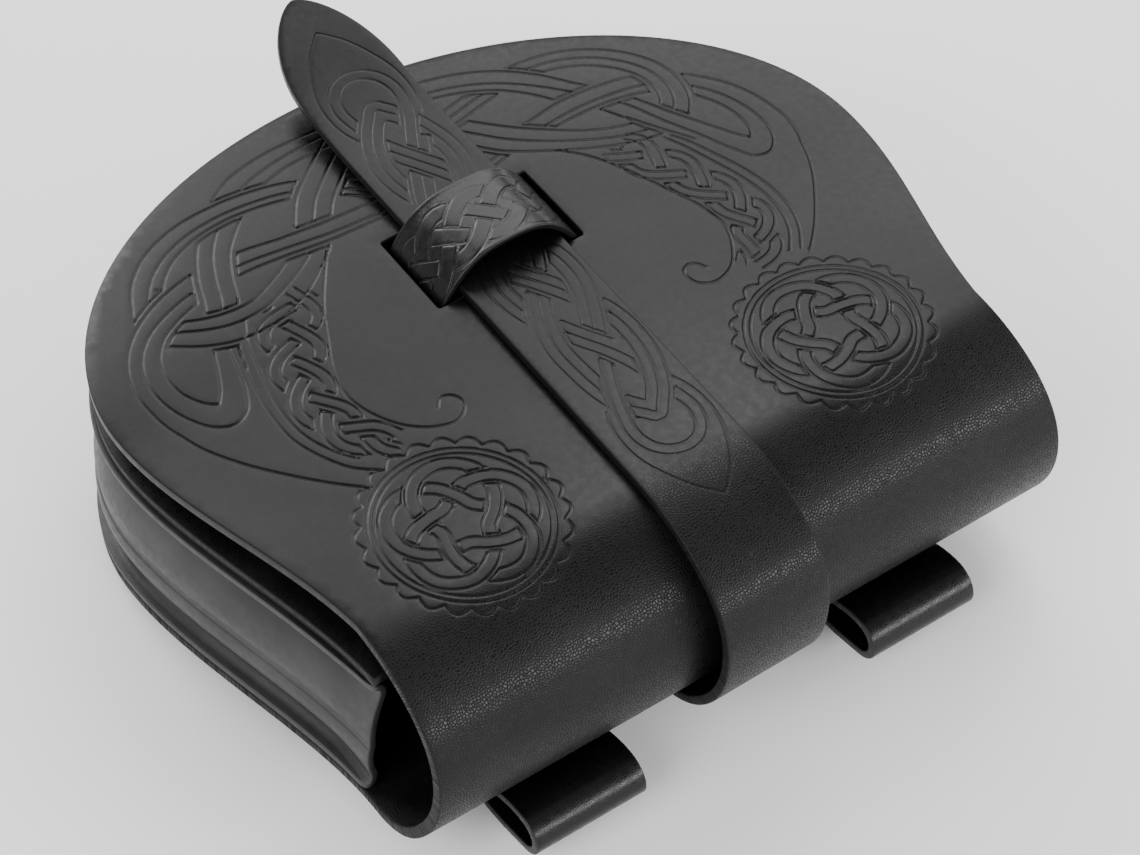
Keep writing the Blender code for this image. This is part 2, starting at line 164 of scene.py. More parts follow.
def outward(heading):
    return np.stack([np.zeros_like(heading), np.sin(heading), -np.cos(heading)], 1)


def lengths(rows):
    return np.linalg.norm(rows, axis=-1)


def unit(rows):
    return rows / np.maximum(tiny, lengths(rows))[:, None]


def lengthAlong(path):
    return np.concatenate([[0], np.cumsum(lengths(np.diff(path, axis=0)))])


def unitTangent(path):
    return unit(np.gradient(path, axis=0))


def leftOf(tangent):
    return np.stack([-tangent[:, 1], tangent[:, 0]], 1)


def offsetLoop(loop, distance, sharpest=0.6):
    # moves a closed outline away from the leather that it bounds; sharp corners move less
    first = unit(loop - np.roll(loop, 1, 0))
    second = unit(np.roll(loop, -1, 0) - loop)
    tangent = unit(first + second)
    mitre = 1 / np.maximum(sharpest, (tangent * first).sum(1))
    return loop - leftOf(tangent) * (distance * mitre)[:, None]


def insideLoops(points, loops, chunk=4000):
    # counts the outlines' edges to the right of each point, a few thousand points at a time
    inside = np.zeros(len(points), bool)
    for loop in loops:
        ends = np.roll(loop, -1, 0)
        rise = ends[:, 1] - loop[:, 1]
        rise[rise == 0] = tiny
        for start in range(0, len(points), chunk):
            p = points[start:start + chunk]
            y = p[:, 1][:, None]
            crosses = (loop[:, 1][None] > y) != (ends[:, 1][None] > y)
            x = loop[:, 0] + (y - loop[:, 1]) / rise * (ends[:, 0] - loop[:, 0])
            inside[start:start + chunk] ^= (crosses & (p[:, 0][:, None] < x)).sum(1) % 2 == 1
    return inside


def distanceToLines(points, lines, nearest=6):
    # distance from each point to the closest of the few stretches that lie nearest to it
    starts = np.concatenate([line[:-1] for line in lines])
    ends = np.concatenate([line[1:] for line in lines])
    middles = (starts + ends) / 2
    tree = KDTree(len(middles))
    for k, middle in enumerate(middles):
        tree.insert((middle[0], middle[1], 0), k)
    tree.balance()
    near = np.array([[hit[1] for hit in tree.find_n((p[0], p[1], 0), nearest)] for p in points])
    best = np.full(len(points), np.inf)
    for column in near.T:
        a = starts[column]
        run = ends[column] - a
        share = np.clip(((points - a) * run).sum(1) / np.maximum(tiny, (run * run).sum(1)), 0, 1)
        best = np.minimum(best, lengths(points - a - run * share[:, None]))
    return best


meshing = {
    "rowStep": 0.87,  # of the cell; every second row of points is set over by half a cell
    "edgeGap": 0.45,  # of the cell, from the outline to the first points
    "grooveGap": 0.3,
    "weld": 1e-4,
    "leastArea": 1e-7,
    "edgeTurns": (30, 60, 90),  # round a cut edge, where a sheet names no others
}


def fillSheet(loops, cell, lines=(), groove=None):
    # triangles over a flat cut, with its grooves' middles and edges as edges of the mesh
    points = list(loops)
    edges = []
    count = 0
    for loop in loops:
        n = len(loop)
        edges += [(count + k, count + (k + 1) % n) for k in range(n)]
        count += n
    boundary = count
    for line in lines:
        for side in (-groove["shoulder"], -groove["half"], 0, groove["half"], groove["shoulder"]):
            path = offsetLine(line, side)
            path = path[insideLoops(path, loops)]
            if len(path) < 2:
                continue
            points.append(path)
            edges += [(count + k, count + k + 1) for k in range(len(path) - 1)]
            count += len(path)
    low = loops[0].min(0)
    high = loops[0].max(0)
    columns = np.arange(low[0] + cell / 2, high[0], cell)
    grid = []
    for k, y in enumerate(np.arange(low[1] + cell / 2, high[1], cell * meshing["rowStep"])):
        grid.append(np.stack([columns + (cell / 2 if k % 2 else 0), np.full(len(columns), y)], 1))
    grid = np.concatenate(grid)
    grid = grid[insideLoops(grid, loops)]
    closed = [np.concatenate([loop, loop[:1]]) for loop in loops]
    grid = grid[distanceToLines(grid, closed) > cell * meshing["edgeGap"]]
    if len(lines):
        grid = grid[distanceToLines(grid, lines) > groove["shoulder"] + cell * meshing["grooveGap"]]
    flat = [Vector(p) for p in np.concatenate(points + [grid])]
    corners, _, faces, origins, _, _ = delaunay_2d_cdt(flat, edges, [], 0, meshing["weld"], True)
    corners = np.array([tuple(c) for c in corners])
    faces = np.array([f for f in faces if len(f) == 3])
    faces = faces[insideLoops(corners[faces].mean(1), loops)]
    a, b, c = (corners[faces[:, k]] for k in range(3))
    area = (b[:, 0] - a[:, 0]) * (c[:, 1] - a[:, 1]) - (b[:, 1] - a[:, 1]) * (c[:, 0] - a[:, 0])
    faces[area < 0] = faces[area < 0][:, ::-1]
    faces = faces[np.abs(area) > meshing["leastArea"]]
    place = {i: k for k, ids in enumerate(origins) for i in ids if i < boundary}
    return corners, faces, np.array([place[i] for i in range(boundary)])


def offsetLine(line, distance):
    return line + leftOf(unitTangent(line)) * distance if distance else line


def grooveDepth(distance, groove):
    steps = (0, groove["half"], groove["shoulder"])
    return np.interp(distance, steps, (groove["depth"], groove["shoulderDepth"], 0))


def smoothRows(rows, closed=False, step=0.4, finer=3):
    # a smooth curve through charted rows (x, y, ...), drawn finer first and then with a point
    # every step; a side line that stands off 0 is missing there, so it isn't blended
    rows = np.array(rows, float)
    if closed:
        rows = np.concatenate([rows[-2:], rows, rows[:3]])
    gap = lengths(np.diff(rows[:, :2], axis=0))
    slope = np.diff(rows[:, :2], axis=0) / gap[:, None]
    pull = np.concatenate([slope[:1], slope, slope[-1:]])
    width = np.concatenate([gap[:1], gap, gap[-1:]])
    both = (width[1:] + width[:-1])[:, None]
    tangent = (pull[1:] * width[:-1, None] + pull[:-1] * width[1:, None]) / both
    pieces = []
    for k in range(2, len(rows) - 3) if closed else range(len(rows) - 1):
        t = np.linspace(0, 1, max(finer, round(gap[k] / step) * finer), endpoint=False)[:, None]
        a, b = rows[k], rows[k + 1]
        h00 = 2 * t ** 3 - 3 * t * t + 1
        h10 = t ** 3 - 2 * t * t + t
        h11 = t ** 3 - t * t
        spot = h00 * a[:2] + (1 - h00) * b[:2] + gap[k] * (h10 * tangent[k] + h11 * tangent[k + 1])
        rest = a[2:] + (b[2:] - a[2:]) * t
        rest = np.where((a[2:] == 0) | (b[2:] == 0), 0, rest)
        pieces.append(np.concatenate([spot, rest], 1))
    last = rows[len(rows) - 3] if closed else rows[-1]
    fine = np.concatenate(pieces + [last[None]])
    length = lengthAlong(fine[:, :2])
    at = np.linspace(0, length[-1], max(2, round(length[-1] / step)) + 1)
    columns = [np.interp(at, length, fine[:, k]) for k in range(rows.shape[1])]
    for k in range(2, rows.shape[1]):
        columns[k][np.interp(at, length, fine[:, k] > 0) < 1] = 0
    return at, np.stack(columns, 1)


weaving = {
    "ownGap": 4.0,  # least way between two points of a strand that cross each other
    "thinnest": 0.2,  # a side line that stands off less isn't drawn
    "foldWindow": 25,  # points to either side among which a folded side line is looked for
    "foldShare": 0.96,
    "reach": 10.0,  # how far round a square crossing the lines are trimmed
    "reachPerGap": 3.0,
    "leastSine": 0.35,  # flatter crossings reach no farther than this one
    "capOverlap": 0.15,
    "shortestLine": 1.0,
    "lineStep": 1.2,
}


def makeBand(rows, closed=False, level=0, sides=None, lines=(-1, 0, 1)):
    # a strand of the interlace: its middle line, and how far its side lines stand off
    if sides is not None:
        rows = [(x, y, sides, sides) for x, y in rows]
    at, fine = smoothRows(rows, closed)
    path = fine[:, :2]
    tangent = np.gradient(path, axis=0)
    if closed:
        tangent[0] = tangent[-1] = path[1] - path[-2]
    tangent = unit(tangent)
    left, right = (fine[:, 2], fine[:, 3]) if fine.shape[1] > 2 else np.zeros((2, len(at)))
    return {"at": at, "path": path, "tangent": tangent, "left": left, "right": right,
            "closed": closed, "level": level, "lines": lines if left.max() > 0 else (0,)}


def wayBetween(band, a, b):
    # length along the band from a to b, the short way round if it is closed
    way = b - a
    if band["closed"]:
        total = band["at"][-1]
        way = (way + total / 2) % total - total / 2
    return way


def meetings(first, second):
    # where two bands' middle lines cross, as lengths along both
    p, q = first["path"], second["path"]
    p0, r = p[:-1, None], np.diff(p, axis=0)[:, None]
    q0, s = q[None, :-1], np.diff(q, axis=0)[None]
    cross = r[..., 0] * s[..., 1] - r[..., 1] * s[..., 0]
    cross[np.abs(cross) < tiny] = tiny
    apart = q0 - p0
    t = (apart[..., 0] * s[..., 1] - apart[..., 1] * s[..., 0]) / cross
    u = (apart[..., 0] * r[..., 1] - apart[..., 1] * r[..., 0]) / cross
    found = []
    for i, j in np.argwhere((t >= 0) & (t < 1) & (u >= 0) & (u < 1)):
        a, b = first["at"][i], second["at"][j]
        if first is second and (j <= i or abs(wayBetween(first, a, b)) < weaving["ownGap"]):
            continue
        sine = abs(cross[i, j]) / (lengths(r[i, 0]) * lengths(s[0, j]))
        found.append((a, b, sine))
    return found


def weave(bands, startOver):
    # every strand goes over and under in turn; a band of a lower level lies over a higher one
    found = []
    for i in range(len(bands)):
        for j in range(i, len(bands)):
            found += [(i, a, j, b, sine) for a, b, sine in meetings(bands[i], bands[j])]
    over = {}  # of a crossing: True where its first strand is on top
    stops = [[] for _ in bands]
    for k, (i, a, j, b, _) in enumerate(found):
        if bands[i]["level"] != bands[j]["level"]:
            over[k] = bands[i]["level"] < bands[j]["level"]
        else:
            stops[i].append((a, k, True))
            stops[j].append((b, k, False))
    for row in stops:
        row.sort(key=lambda stop: (stop[0], stop[1], not stop[2]))
        known = [(n, over[k] == first) for n, (_, k, first) in enumerate(row) if k in over]
        n0, state = known[0] if known else (0, startOver)
        for n, (_, k, first) in enumerate(row):
            onTop = state == ((n - n0) % 2 == 0)
            over.setdefault(k, onTop == first)
    return [(i, a, j, b, sine) if over[k] else (j, b, i, a, sine)
            for k, (i, a, j, b, sine) in enumerate(found)]


def sideOf(points, band, stretch):
    # distance from each point to a stretch of a band, and how wide the band is on that side
    path = band["path"][stretch]
    gap = lengths(points[:, None] - path[None])
    near = gap.argmin(1)
    tangent = band["tangent"][stretch][near]
    offset = points - path[near]
    onLeft = tangent[:, 0] * offset[:, 1] - tangent[:, 1] * offset[:, 0] > 0
    return gap.min(1), np.where(onLeft, band["left"][stretch][near], band["right"][stretch][near])


def bandLine(band, side):
    # one of a band's lines, with the points that a sharp turn folds over left out
    path = band["path"]
    if side == 0:
        return path, np.ones(len(path), bool)
    reach = band["left"] if side > 0 else band["right"]
    line = path + leftOf(band["tangent"]) * (side * reach)[:, None]
    shown = reach > weaving["thinnest"]
    span = weaving["foldWindow"]
    for k in np.flatnonzero(shown):
        around = path[max(0, k - span):k + span + 1]
        if lengths(around - line[k]).min() < reach[k] * weaving["foldShare"]:
            line[k] = np.nan
    return line, shown


def runsOf(line, shown):
    # the stretches of a line that show, without its left out points
    runs = []
    start = None
    for k in range(len(line) + 1):
        if k < len(line) and shown[k]:
            start = k if start is None else start
        elif start is not None:
            run = line[start:k]
            run = run[~np.isnan(run[:, 0])]
            if len(run) > 2:
                runs.append(run)
            start = None
    return runs


def evenLine(line, step=weaving["lineStep"]):
    length = lengthAlong(line)
    at = np.linspace(0, length[-1], max(2, round(length[-1] / step) + 1))
    return np.stack([np.interp(at, length, line[:, k]) for k in range(2)], 1)


def nearCrossing(band, at, sine, gap):
    reach = (weaving["reach"] + weaving["reachPerGap"] * gap) / max(weaving["leastSine"], sine)
    return np.abs(wayBetween(band, at, band["at"])) < reach


def interlace(bands, startOver=True, gap=1.5, step=weaving["lineStep"]):
    # the lines that show of a set of woven bands: their own, trimmed beside each band that lies
    # over them, and the ends that they show along it
    crossings = weave(bands, startOver)
    drawn = []
    for number, band in enumerate(bands):
        for side in band["lines"]:
            line, shown = bandLine(band, side)
            for topNumber, topAt, lowNumber, lowAt, sine in crossings:
                if lowNumber != number:
                    continue
                top = bands[topNumber]
                here = nearCrossing(band, lowAt, sine, gap) & ~np.isnan(line[:, 0])
                away, limit = sideOf(line[here], top, nearCrossing(top, topAt, sine, gap))
                shown[np.flatnonzero(here)[away < limit + gap]] = False
            drawn += runsOf(line, shown)
    for topNumber, topAt, lowNumber, lowAt, sine in crossings:
        top, low = bands[topNumber], bands[lowNumber]
        if low["left"].max() == 0:
            continue
        stretch = nearCrossing(top, topAt, sine, gap)
        under = nearCrossing(low, lowAt, sine, gap)
        for side, width in ((1, top["left"]), (-1, top["right"])):
            out = leftOf(top["tangent"]) * (side * (width + gap))[:, None]
            cap = (top["path"] + out)[stretch]
            away, limit = sideOf(cap, low, under)
            drawn += runsOf(cap, away < limit + weaving["capOverlap"])
    return [evenLine(line, step) for line in drawn if lengthAlong(line)[-1] > weaving["shortestLine"]]


def plait(rows, look, level=1):
    # strands that swing to and fro across a middle line of charted rows (x, y, half width)
    at, fine = smoothRows(rows, step=1.0)
    bands = []
    for k in range(look["strands"]):
        swing = fine[:, 2] * np.sin(2 * math.pi * (at / look["pitch"] + k / look["strands"]))
        path = fine[:, :2] + leftOf(unitTangent(fine[:, :2])) * swing[:, None]
        bands.append(makeBand(path[::look["thin"]], level=level, sides=look["sides"], lines=(-1, 1)))
    return bands


def sheetMesh(name, loops, surface, sheet, lines=(), groove=None, relief=None, grainAt=None):
    # a cut of leather: its face with the grooves, its underside, and rounded cut edges
    bend = sheet["round"]
    top = [offsetLoop(loop, -bend) for loop in loops]
    flatTop, facesTop, rimTop = fillSheet(top, sheet["cell"], lines, groove)
    flatLow, facesLow, rimLow = fillSheet(top, sheet["underCell"])
    depth = np.zeros(len(flatTop))
    if len(lines):
        depth += grooveDepth(distanceToLines(flatTop, lines), groove)
    if relief is not None:
        depth -= relief(flatTop)
    profile = [(math.sin(a) * bend - bend, bend - math.cos(a) * bend)
               for a in np.radians(sheet.get("edgeTurns", meshing["edgeTurns"]))]
    profile += [(out, sheet["wall"] - deep) for out, deep in reversed(profile)]
    # every layer's points in the flat cut, and how deep they lie under the face
    layers = [(flatTop, depth), (flatLow, np.full(len(flatLow), sheet["wall"]))]
    for out, deep in profile:
        ring = np.concatenate([offsetLoop(loop, out) for loop in loops])
        layers.append((ring, np.full(len(ring), deep)))
    verts = []
    for flat, deep in layers:
        place, normal = surface(flat)
        verts.append((place - normal * deep[:, None]) * mm)
    faceCount = len(flatTop) + len(flatLow)
    rimCount = len(rimTop)
    rings = [faceCount + k * rimCount + np.arange(rimCount) for k in range(len(profile))]
    rings = [rimTop] + rings + [rimLow + len(flatTop)]
    faces = facesTop.tolist() + (facesLow[:, ::-1] + len(flatTop)).tolist()
    start = 0
    for loop in loops:
        here = np.arange(start, start + len(loop))
        there = np.roll(here, -1)
        for upper, lower in zip(rings, rings[1:]):
            faces += np.stack([upper[here], lower[here], lower[there], upper[there]], 1).tolist()
        start += len(loop)
    mesh = bpy.data.meshes.new(name)
    mesh.from_pydata(np.concatenate(verts).tolist(), [], faces)
    mesh.transform(lying)
    flats = np.concatenate([flat for flat, _ in layers])
    grain = np.full(len(flats), sheet["grain"]) if grainAt is None else grainAt(flats)
    onEdge = np.arange(len(flats)) >= faceCount
    for title, values in (("cutEdge", onEdge), ("grain", grain)):
        data = mesh.attributes.new(title, "FLOAT", "POINT").data
        data.foreach_set("value", values.astype(np.float32))
    layout = np.concatenate([flats * mm, np.zeros((len(flats), 1))], 1)
    mesh.attributes.new("flat", "FLOAT_VECTOR", "POINT").data.foreach_set("vector", layout.ravel())
    mesh.shade_smooth()
    mesh.validate()
    return mesh


def addObject(name, data):
    made = bpy.data.objects.new(name, data)
    bpy.context.collection.objects.link(made)
    return made


def addPiece(name, mesh, material, slot, *nodes):
    piece = addObject(name, mesh)
    mesh.materials.append(material)
    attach(piece, "root")
    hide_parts(*nodes)
    print(name, len(mesh.vertices), "points,", len(mesh.polygons), "faces")


def spread(start, end, length):
    # evenly spaced values, about a length apart, both ends included
    count = max(1, round(abs(end - start) / length))
    return np.linspace(start, end, count + 1)


def roundedEnd(shape, step=2):
    # right half of the rounded end, from its tip to the widest line
    return [(shape["half"] * math.sin(a), pouch["widestY"] + shape["length"] * math.cos(a))
            for a in np.radians(np.arange(0, 90, step))]


def sideRun(shape, start, end, step):
    return [(float(halfWidth(shape, y)), y) for y in spread(start, end, step)]


def stripSide(half, start, end, step):
    # right side of a straight strip, which runs towards -y, and half of its square end
    side = [(half, -s) for s in spread(start, end, step)]
    return side + [(x, -end) for x in spread(half, 0, step)[1:-1]]


def mirroredLoop(right):
    # a closed outline from its right side, which runs from the far end to the near end;
    # it comes back up the left side, and is turned to run the other way round
    right = np.array(right)
    left = right[::-1] * (-1, 1)
    loop = np.concatenate([right, left])
    return loop[lengths(loop - np.roll(loop, 1, 0)) > tiny][::-1]


def filledLoop(corners, steps):
    # a closed outline through its corners, with points about a step apart
    loop = []
    for k, (a, b) in enumerate(zip(corners, corners[1:] + corners[:1])):
        count = max(1, round(math.dist(a, b) / steps[k % len(steps)]))
        loop += np.linspace(a, b, count, endpoint=False).tolist()
    return np.array(loop)


def boxLoop(width, height, steps, corner=0.0):
    # outline of a straight strip, its points a step apart along it and up it
    loop = filledLoop([(0, 0), (width, 0), (width, height), (0, height)], steps)
    if corner:
        centre = np.clip(loop, corner, (width - corner, height - corner))
        loop = centre + corner * unit(loop - centre)
    return loop


def windowLoop(window):
    # the window's outline with slightly rounded corners, run the other way round as a hole
    r = window["corner"]
    points = []
    for k, (cx, cy) in enumerate(((1, 1), (1, -1), (-1, -1), (-1, 1))):
        x = cx * (window["halfX"] - r)
        y = window["farY"] - r if cy > 0 else window["nearY"] + r
        for a in np.radians(np.array(window["turns"]) - 90 * k):
            points.append((x + r * math.cos(a), y + r * math.sin(a)))
    return filledLoop(points, window["steps"])


foldGrain = {"startY": -76.0, "span": 17.0, "least": 0.04}


def bendGrain(y):
    # the leather's grain opens where it bends round the fold
    opened = ease((foldGrain["startY"] - y) / foldGrain["span"])
    return foldGrain["least"] + (1 - foldGrain["least"]) * opened


# The tooled ribbons, charted on the flap: x, y, and how far the side lines stand off
# to the left and to the right of the middle one (0 where there is none).
# The right half is charted as seen in a mirror.
leftRibbons = {
    "loop": (
        (-4, 21.6, 1.6, 4.2), (-16.3, 21.6, 1.6, 4.1), (-27.7, 22.3, 2, 3.8), (-39, 23.4, 2.2, 3.4),
        (-49.4, 23.9, 2.6, 4), (-60, 23, 3.2, 4.8), (-70.6, 20.1, 3.4, 4.2), (-77.7, 16.3, 3.6, 3.4),
        (-82.7, 10.6, 4, 3.2), (-85.1, 3.2, 4.4, 3.3), (-84.9, -4, 4.6, 3.7), (-82.7, -10.6, 5.4, 4.7),
        (-79.4, -15.4, 7, 0), (-75.6, -17.3, 8, 0), (-71.6, -15.8, 7, 0), (-68.6, -11, 5.8, 0),
        (-66.6, -4, 4.4, 2), (-64.6, 4.1, 3.3, 2.2), (-62.2, 10, 3.6, 3), (-59.4, 15.8, 3.8, 3.6),
        (-56.6, 23.7, 3.8, 3.7), (-52.7, 31.6, 3.6, 3.9), (-48.6, 36.8, 3.7, 4.2),
        (-42.5, 42.4, 4.4, 4.2), (-35.4, 46.9, 4.8, 3.6), (-25, 50.2, 4, 3.2), (-12, 51.6, 2.8, 3.8),
        (-2, 51.8, 2.8, 3.8)),
    "hook": (
        (-7, 25, 2.2, 3.5), (-14, 30.5, 2.2, 3.5), (-20, 35, 2.2, 3.4), (-28, 38.9, 2.2, 3.4),
        (-37.7, 40.7, 2.1, 3.7), (-45, 41, 2.1, 3.9), (-54.9, 39.7, 2.3, 4.3), (-63.4, 36, 2.6, 4.4),
        (-69.1, 31.1, 3, 4.2), (-73, 25.1, 3, 3.7), (-75.2, 19, 3, 3.6), (-73.6, 14.8, 3, 4),
        (-69.9, 12.2, 3.2, 4.6), (-66.3, 10.3, 3.5, 5), (-60.6, 8.4, 3.9, 5.2), (-53.4, 8.8, 3.6, 5),
        (-44.9, 12.8, 3.6, 5), (-38.6, 16.6, 3.8, 4), (-34.3, 20, 4, 3.8), (-31.5, 23.7, 4, 4),
        (-29.1, 27.6, 4.1, 4), (-24.9, 33.5, 4.3, 4), (-19.1, 39, 4.2, 4), (-12.7, 44.4, 4, 4),
        (-6, 49.5, 4, 4), (2, 53, 4, 4)),
    "borders": (
        ((-86.9, -12.6), (-85.2, -17.9), (-80.6, -26.3), (-73.4, -35.6), (-66.5, -43), (-61, -48)),
        ((-55.6, 15.1), (-60.5, 7), (-62.6, 3.4), (-64.8, -4), (-66.5, -12), (-67.6, -20),
         (-67.4, -28), (-65, -35), (-61, -41.5), (-56, -45.5)),
        ((-58, 8), (-60.4, 3), (-62.4, -5), (-64.2, -13), (-65.2, -21), (-64.8, -28), (-62.4, -34.5),
         (-58.6, -40)),
        ((-31.5, 18), (-36, 11.5), (-40.5, 4.5), (-46, -7), (-50, -17), (-51, -25), (-49, -32),
         (-45, -38), (-40, -41.5), (-35, -42.5), (-31.5, -40), (-31.6, -36.2), (-34.6, -34.8),
         (-36.4, -37))),
    "plait": ((-45, 11, 6), (-51.4, 0, 6), (-55.2, -10, 5.4), (-57.6, -20, 4.8), (-57, -30, 4.8),
        (-52.5, -38, 4), (-48, -42, 2.6)),
}
rightRibbons = {
    "loop": (
        (-4, 17, 2, 3.4), (-16, 20.5, 2, 3.4), (-24, 22.6, 2, 3.8), (-32.7, 23.9, 1.9, 4),
        (-42, 26, 2.2, 4.6), (-52, 27, 2.2, 4.3), (-60, 26.4, 2.6, 4), (-67, 23.6, 3, 4),
        (-72.5, 18.6, 3.2, 4.2), (-76.4, 12, 3.4, 4.8), (-78.4, 4, 3.9, 5.1), (-78.2, -2, 4.6, 5.7),
        (-76.2, -6.6, 6, 6.6), (-73.2, -9, 7.6, 0), (-69.8, -8.6, 7.4, 0), (-66.3, -3.8, 5.4, 0),
        (-62.4, 4.2, 4.2, 2), (-57.8, 13, 3.6, 3.2), (-54.6, 20.5, 3, 4.6), (-50.6, 27, 3.2, 4.6),
        (-45.2, 33, 3.6, 4.6), (-39.1, 39.6, 4.6, 3.4), (-33.2, 44.6, 5, 2.8), (-25, 48.9, 5, 2.7),
        (-18, 50.9, 4.8, 2.6), (-2, 52, 3.6, 3.4)),
    "hook": (
        (-8, 38.2, 2.8, 2.8), (-17, 39.8, 2.8, 2.8), (-24, 42, 2.8, 2.8), (-32, 44.4, 2.8, 3),
        (-40, 45.8, 2.8, 3.2), (-48, 45.4, 3, 3.2), (-56.5, 42, 3.2, 3.4), (-62.4, 36.6, 3.2, 3.6),
        (-66, 30, 3.2, 3.7), (-66.6, 23.4, 3.2, 3.7), (-64.4, 17, 3.2, 3.7), (-60, 12.6, 3.4, 3.6),
        (-54, 11.4, 3.6, 3), (-46, 12, 3.6, 2.9), (-38.5, 14.6, 3.6, 3.2), (-30, 19.2, 4.4, 3.6),
        (-22.6, 25.2, 4.6, 4.4), (-17.6, 31.2, 4.2, 4.2), (-13, 37, 4, 4), (-6, 44, 4, 4)),
    "borders": (
        ((-81.8, -10.2), (-80.3, -14.6), (-77.2, -21), (-72.4, -28.5), (-66.5, -36.5), (-61.5, -42)),
        ((-48.4, 22.4), (-54.5, 10), (-58.6, 3.6), (-61.4, -3), (-64.4, -11), (-66, -20), (-65.6, -28),
         (-63.2, -35), (-59.5, -41)),
        ((-51.5, 12), (-56.4, 3.4), (-59.2, -4), (-61.9, -12), (-63.4, -20), (-63, -28),
         (-60.8, -34.4), (-57, -40)),
        ((-30.5, 15), (-35.4, 9.6), (-40.4, 1), (-44.9, -9.1), (-48.4, -18), (-49.2, -25),
         (-46.8, -31.5), (-41, -38.2), (-36, -39.4), (-32.4, -37), (-32.4, -33.2), (-35.4, -31.8),
         (-37.2, -34))),
    "plait": ((-43, 9, 5.6), (-48.4, -1, 5.6), (-52.6, -10, 5), (-55.6, -20, 4.6), (-55, -29, 4.6),
        (-51, -36, 4), (-46.5, -40, 2.6)),
}

neckPlait = {"strands": 3, "pitch": 34.0, "sides": 1.3, "thin": 3}
rosette = {
    "centre": (-50.0, -66.5),
    "bights": 5,
    "turns": 3,
    "radius": 11.0,
    "swing": 5.6,
    "sides": 1.45,
    "gap": 0.7,
    "pointsPerBight": 8,
    "rings": (18.9, 20.4),
    "ringPoints": 121,
    "scallops": 24,
    "pointsPerScallop": 6,
    "scallopRadius": 21.6,
    "scallopRise": 1.9,
}


def rosetteLines():
    # a round knot in two rings, with a scalloped edge
    cx, cy = rosette["centre"]
    bights = rosette["bights"]

    def ring(radius, angles):
        return np.stack([cx + radius * np.cos(angles), cy + radius * np.sin(angles)], 1)

    count = bights * rosette["pointsPerBight"]
    angles = 2 * math.pi * rosette["turns"] * np.arange(count) / count
    radius = rosette["radius"] + rosette["swing"] * np.cos(bights * angles / rosette["turns"])
    strand = makeBand(ring(radius, angles), closed=True, sides=rosette["sides"], lines=(-1, 1))
    lines = interlace([strand], gap=rosette["gap"])
    around = np.linspace(0, 2 * math.pi, rosette["ringPoints"])
    lines += [ring(size, around) for size in rosette["rings"]]
    fine = np.linspace(0, 2 * math.pi, rosette["scallops"] * rosette["pointsPerScallop"] + 1)
    rise = np.abs(np.sin(fine * rosette["scallops"] / 2))
    lines.append(ring(rosette["scallopRadius"] + rosette["scallopRise"] * rise, fine))
    return lines


def ribbonLines(ribbons, startOver):
    bands = [makeBand(ribbons["loop"]), makeBand(ribbons["hook"])]
    bands += [makeBand(border, level=2) for border in ribbons["borders"]]
    bands += plait(ribbons["plait"], neckPlait)
    return interlace(bands, startOver) + rosetteLines()


def flapLines():
    right = ribbonLines(rightRibbons, False)
    return ribbonLines(leftRibbons, True) + [line * (-1, 1) for line in right]


wrap = {
    "sheet": {"wall": 3.0, "round": 0.45, "cell": 2.6, "underCell": 6.0},
    "groove": {"half": 0.30, "depth": 0.36, "shoulder": 0.70, "shoulderDepth": 0.03},
    "outlineStep": 2.0,
    "foldArcs": ((85, 0.305), (45, 0.352), (50, 0.186)),  # turn, radius before it is scaled
    "window": {"halfX": 20.2, "nearY": -11.9, "farY": 13.0, "corner": 0.6,
               "turns": (90, 60, 30, 0), "steps": (1.5,)},
}


def wrapPath():
    path = SidePath(pouch["flatEndY"], pouch["depth"])
    path.fall(wrap["foldArcs"], pouch["depth"])
    return path.table()


def wrapSurface(flat):
    # flat y runs on past the flap as a length round the fold and then along the back
    path = wrapPath()
    run = pouch["flatEndY"] - flat[:, 1]
    y, z, heading = along(path, np.maximum(run, 0))
    share = np.clip(run / path[-1, 0], 0, 1)
    x = flat[:, 0] + pouch["foldBulge"] * np.sin(np.pi * share) ** 2
    onFlap = run <= 0
    y = np.where(onFlap, flat[:, 1], y)
    z = np.where(onFlap, flapHeight(x, y), z)
    return np.stack([x, skewed(x, y), z], 1), outward(heading)


def makeWrap(material):
    foldLength, backEnd = wrapPath()[-1, :2]
    step = wrap["outlineStep"]
    right = roundedEnd(flapShape)
    right += sideRun(flapShape, pouch["widestY"], pouch["flatEndY"], step)
    start = right[-1][0]
    end = float(halfWidth(backShape, backEnd))
    for run in spread(0, foldLength, step)[1:]:
        x = start + (end - start) * float(ease(run / foldLength))
        right.append((x, pouch["flatEndY"] - run))
    back = sideRun(backShape, backEnd, pouch["widestY"], step)[1:] + roundedEnd(backShape)[::-1]
    right += [(x, pouch["flatEndY"] - foldLength - (y - backEnd)) for x, y in back]
    loops = [mirroredLoop(right), windowLoop(wrap["window"])]
    mesh = sheetMesh("tooled_wrap", loops, wrapSurface, wrap["sheet"], flapLines(), wrap["groove"],
                     grainAt=lambda flat: bendGrain(flat[:, 1]))
    addPiece("tooled_wrap", mesh, material, "tooled_leather", "wrap")


frontPanel = {
    "sheet": {"grain": 0.3, "wall": 3.0, "round": 0.4, "cell": 5.0, "underCell": 7.0},
    "mouthY": -80.2,
    "outlineStep": 2.5,
}


def panelSurface(flat):
    x, y = flat.T
    up = np.zeros((len(flat), 3))
    up[:, 2] = 1
    return np.stack([x, skewed(x, y), panelHeight(x, y)], 1), up


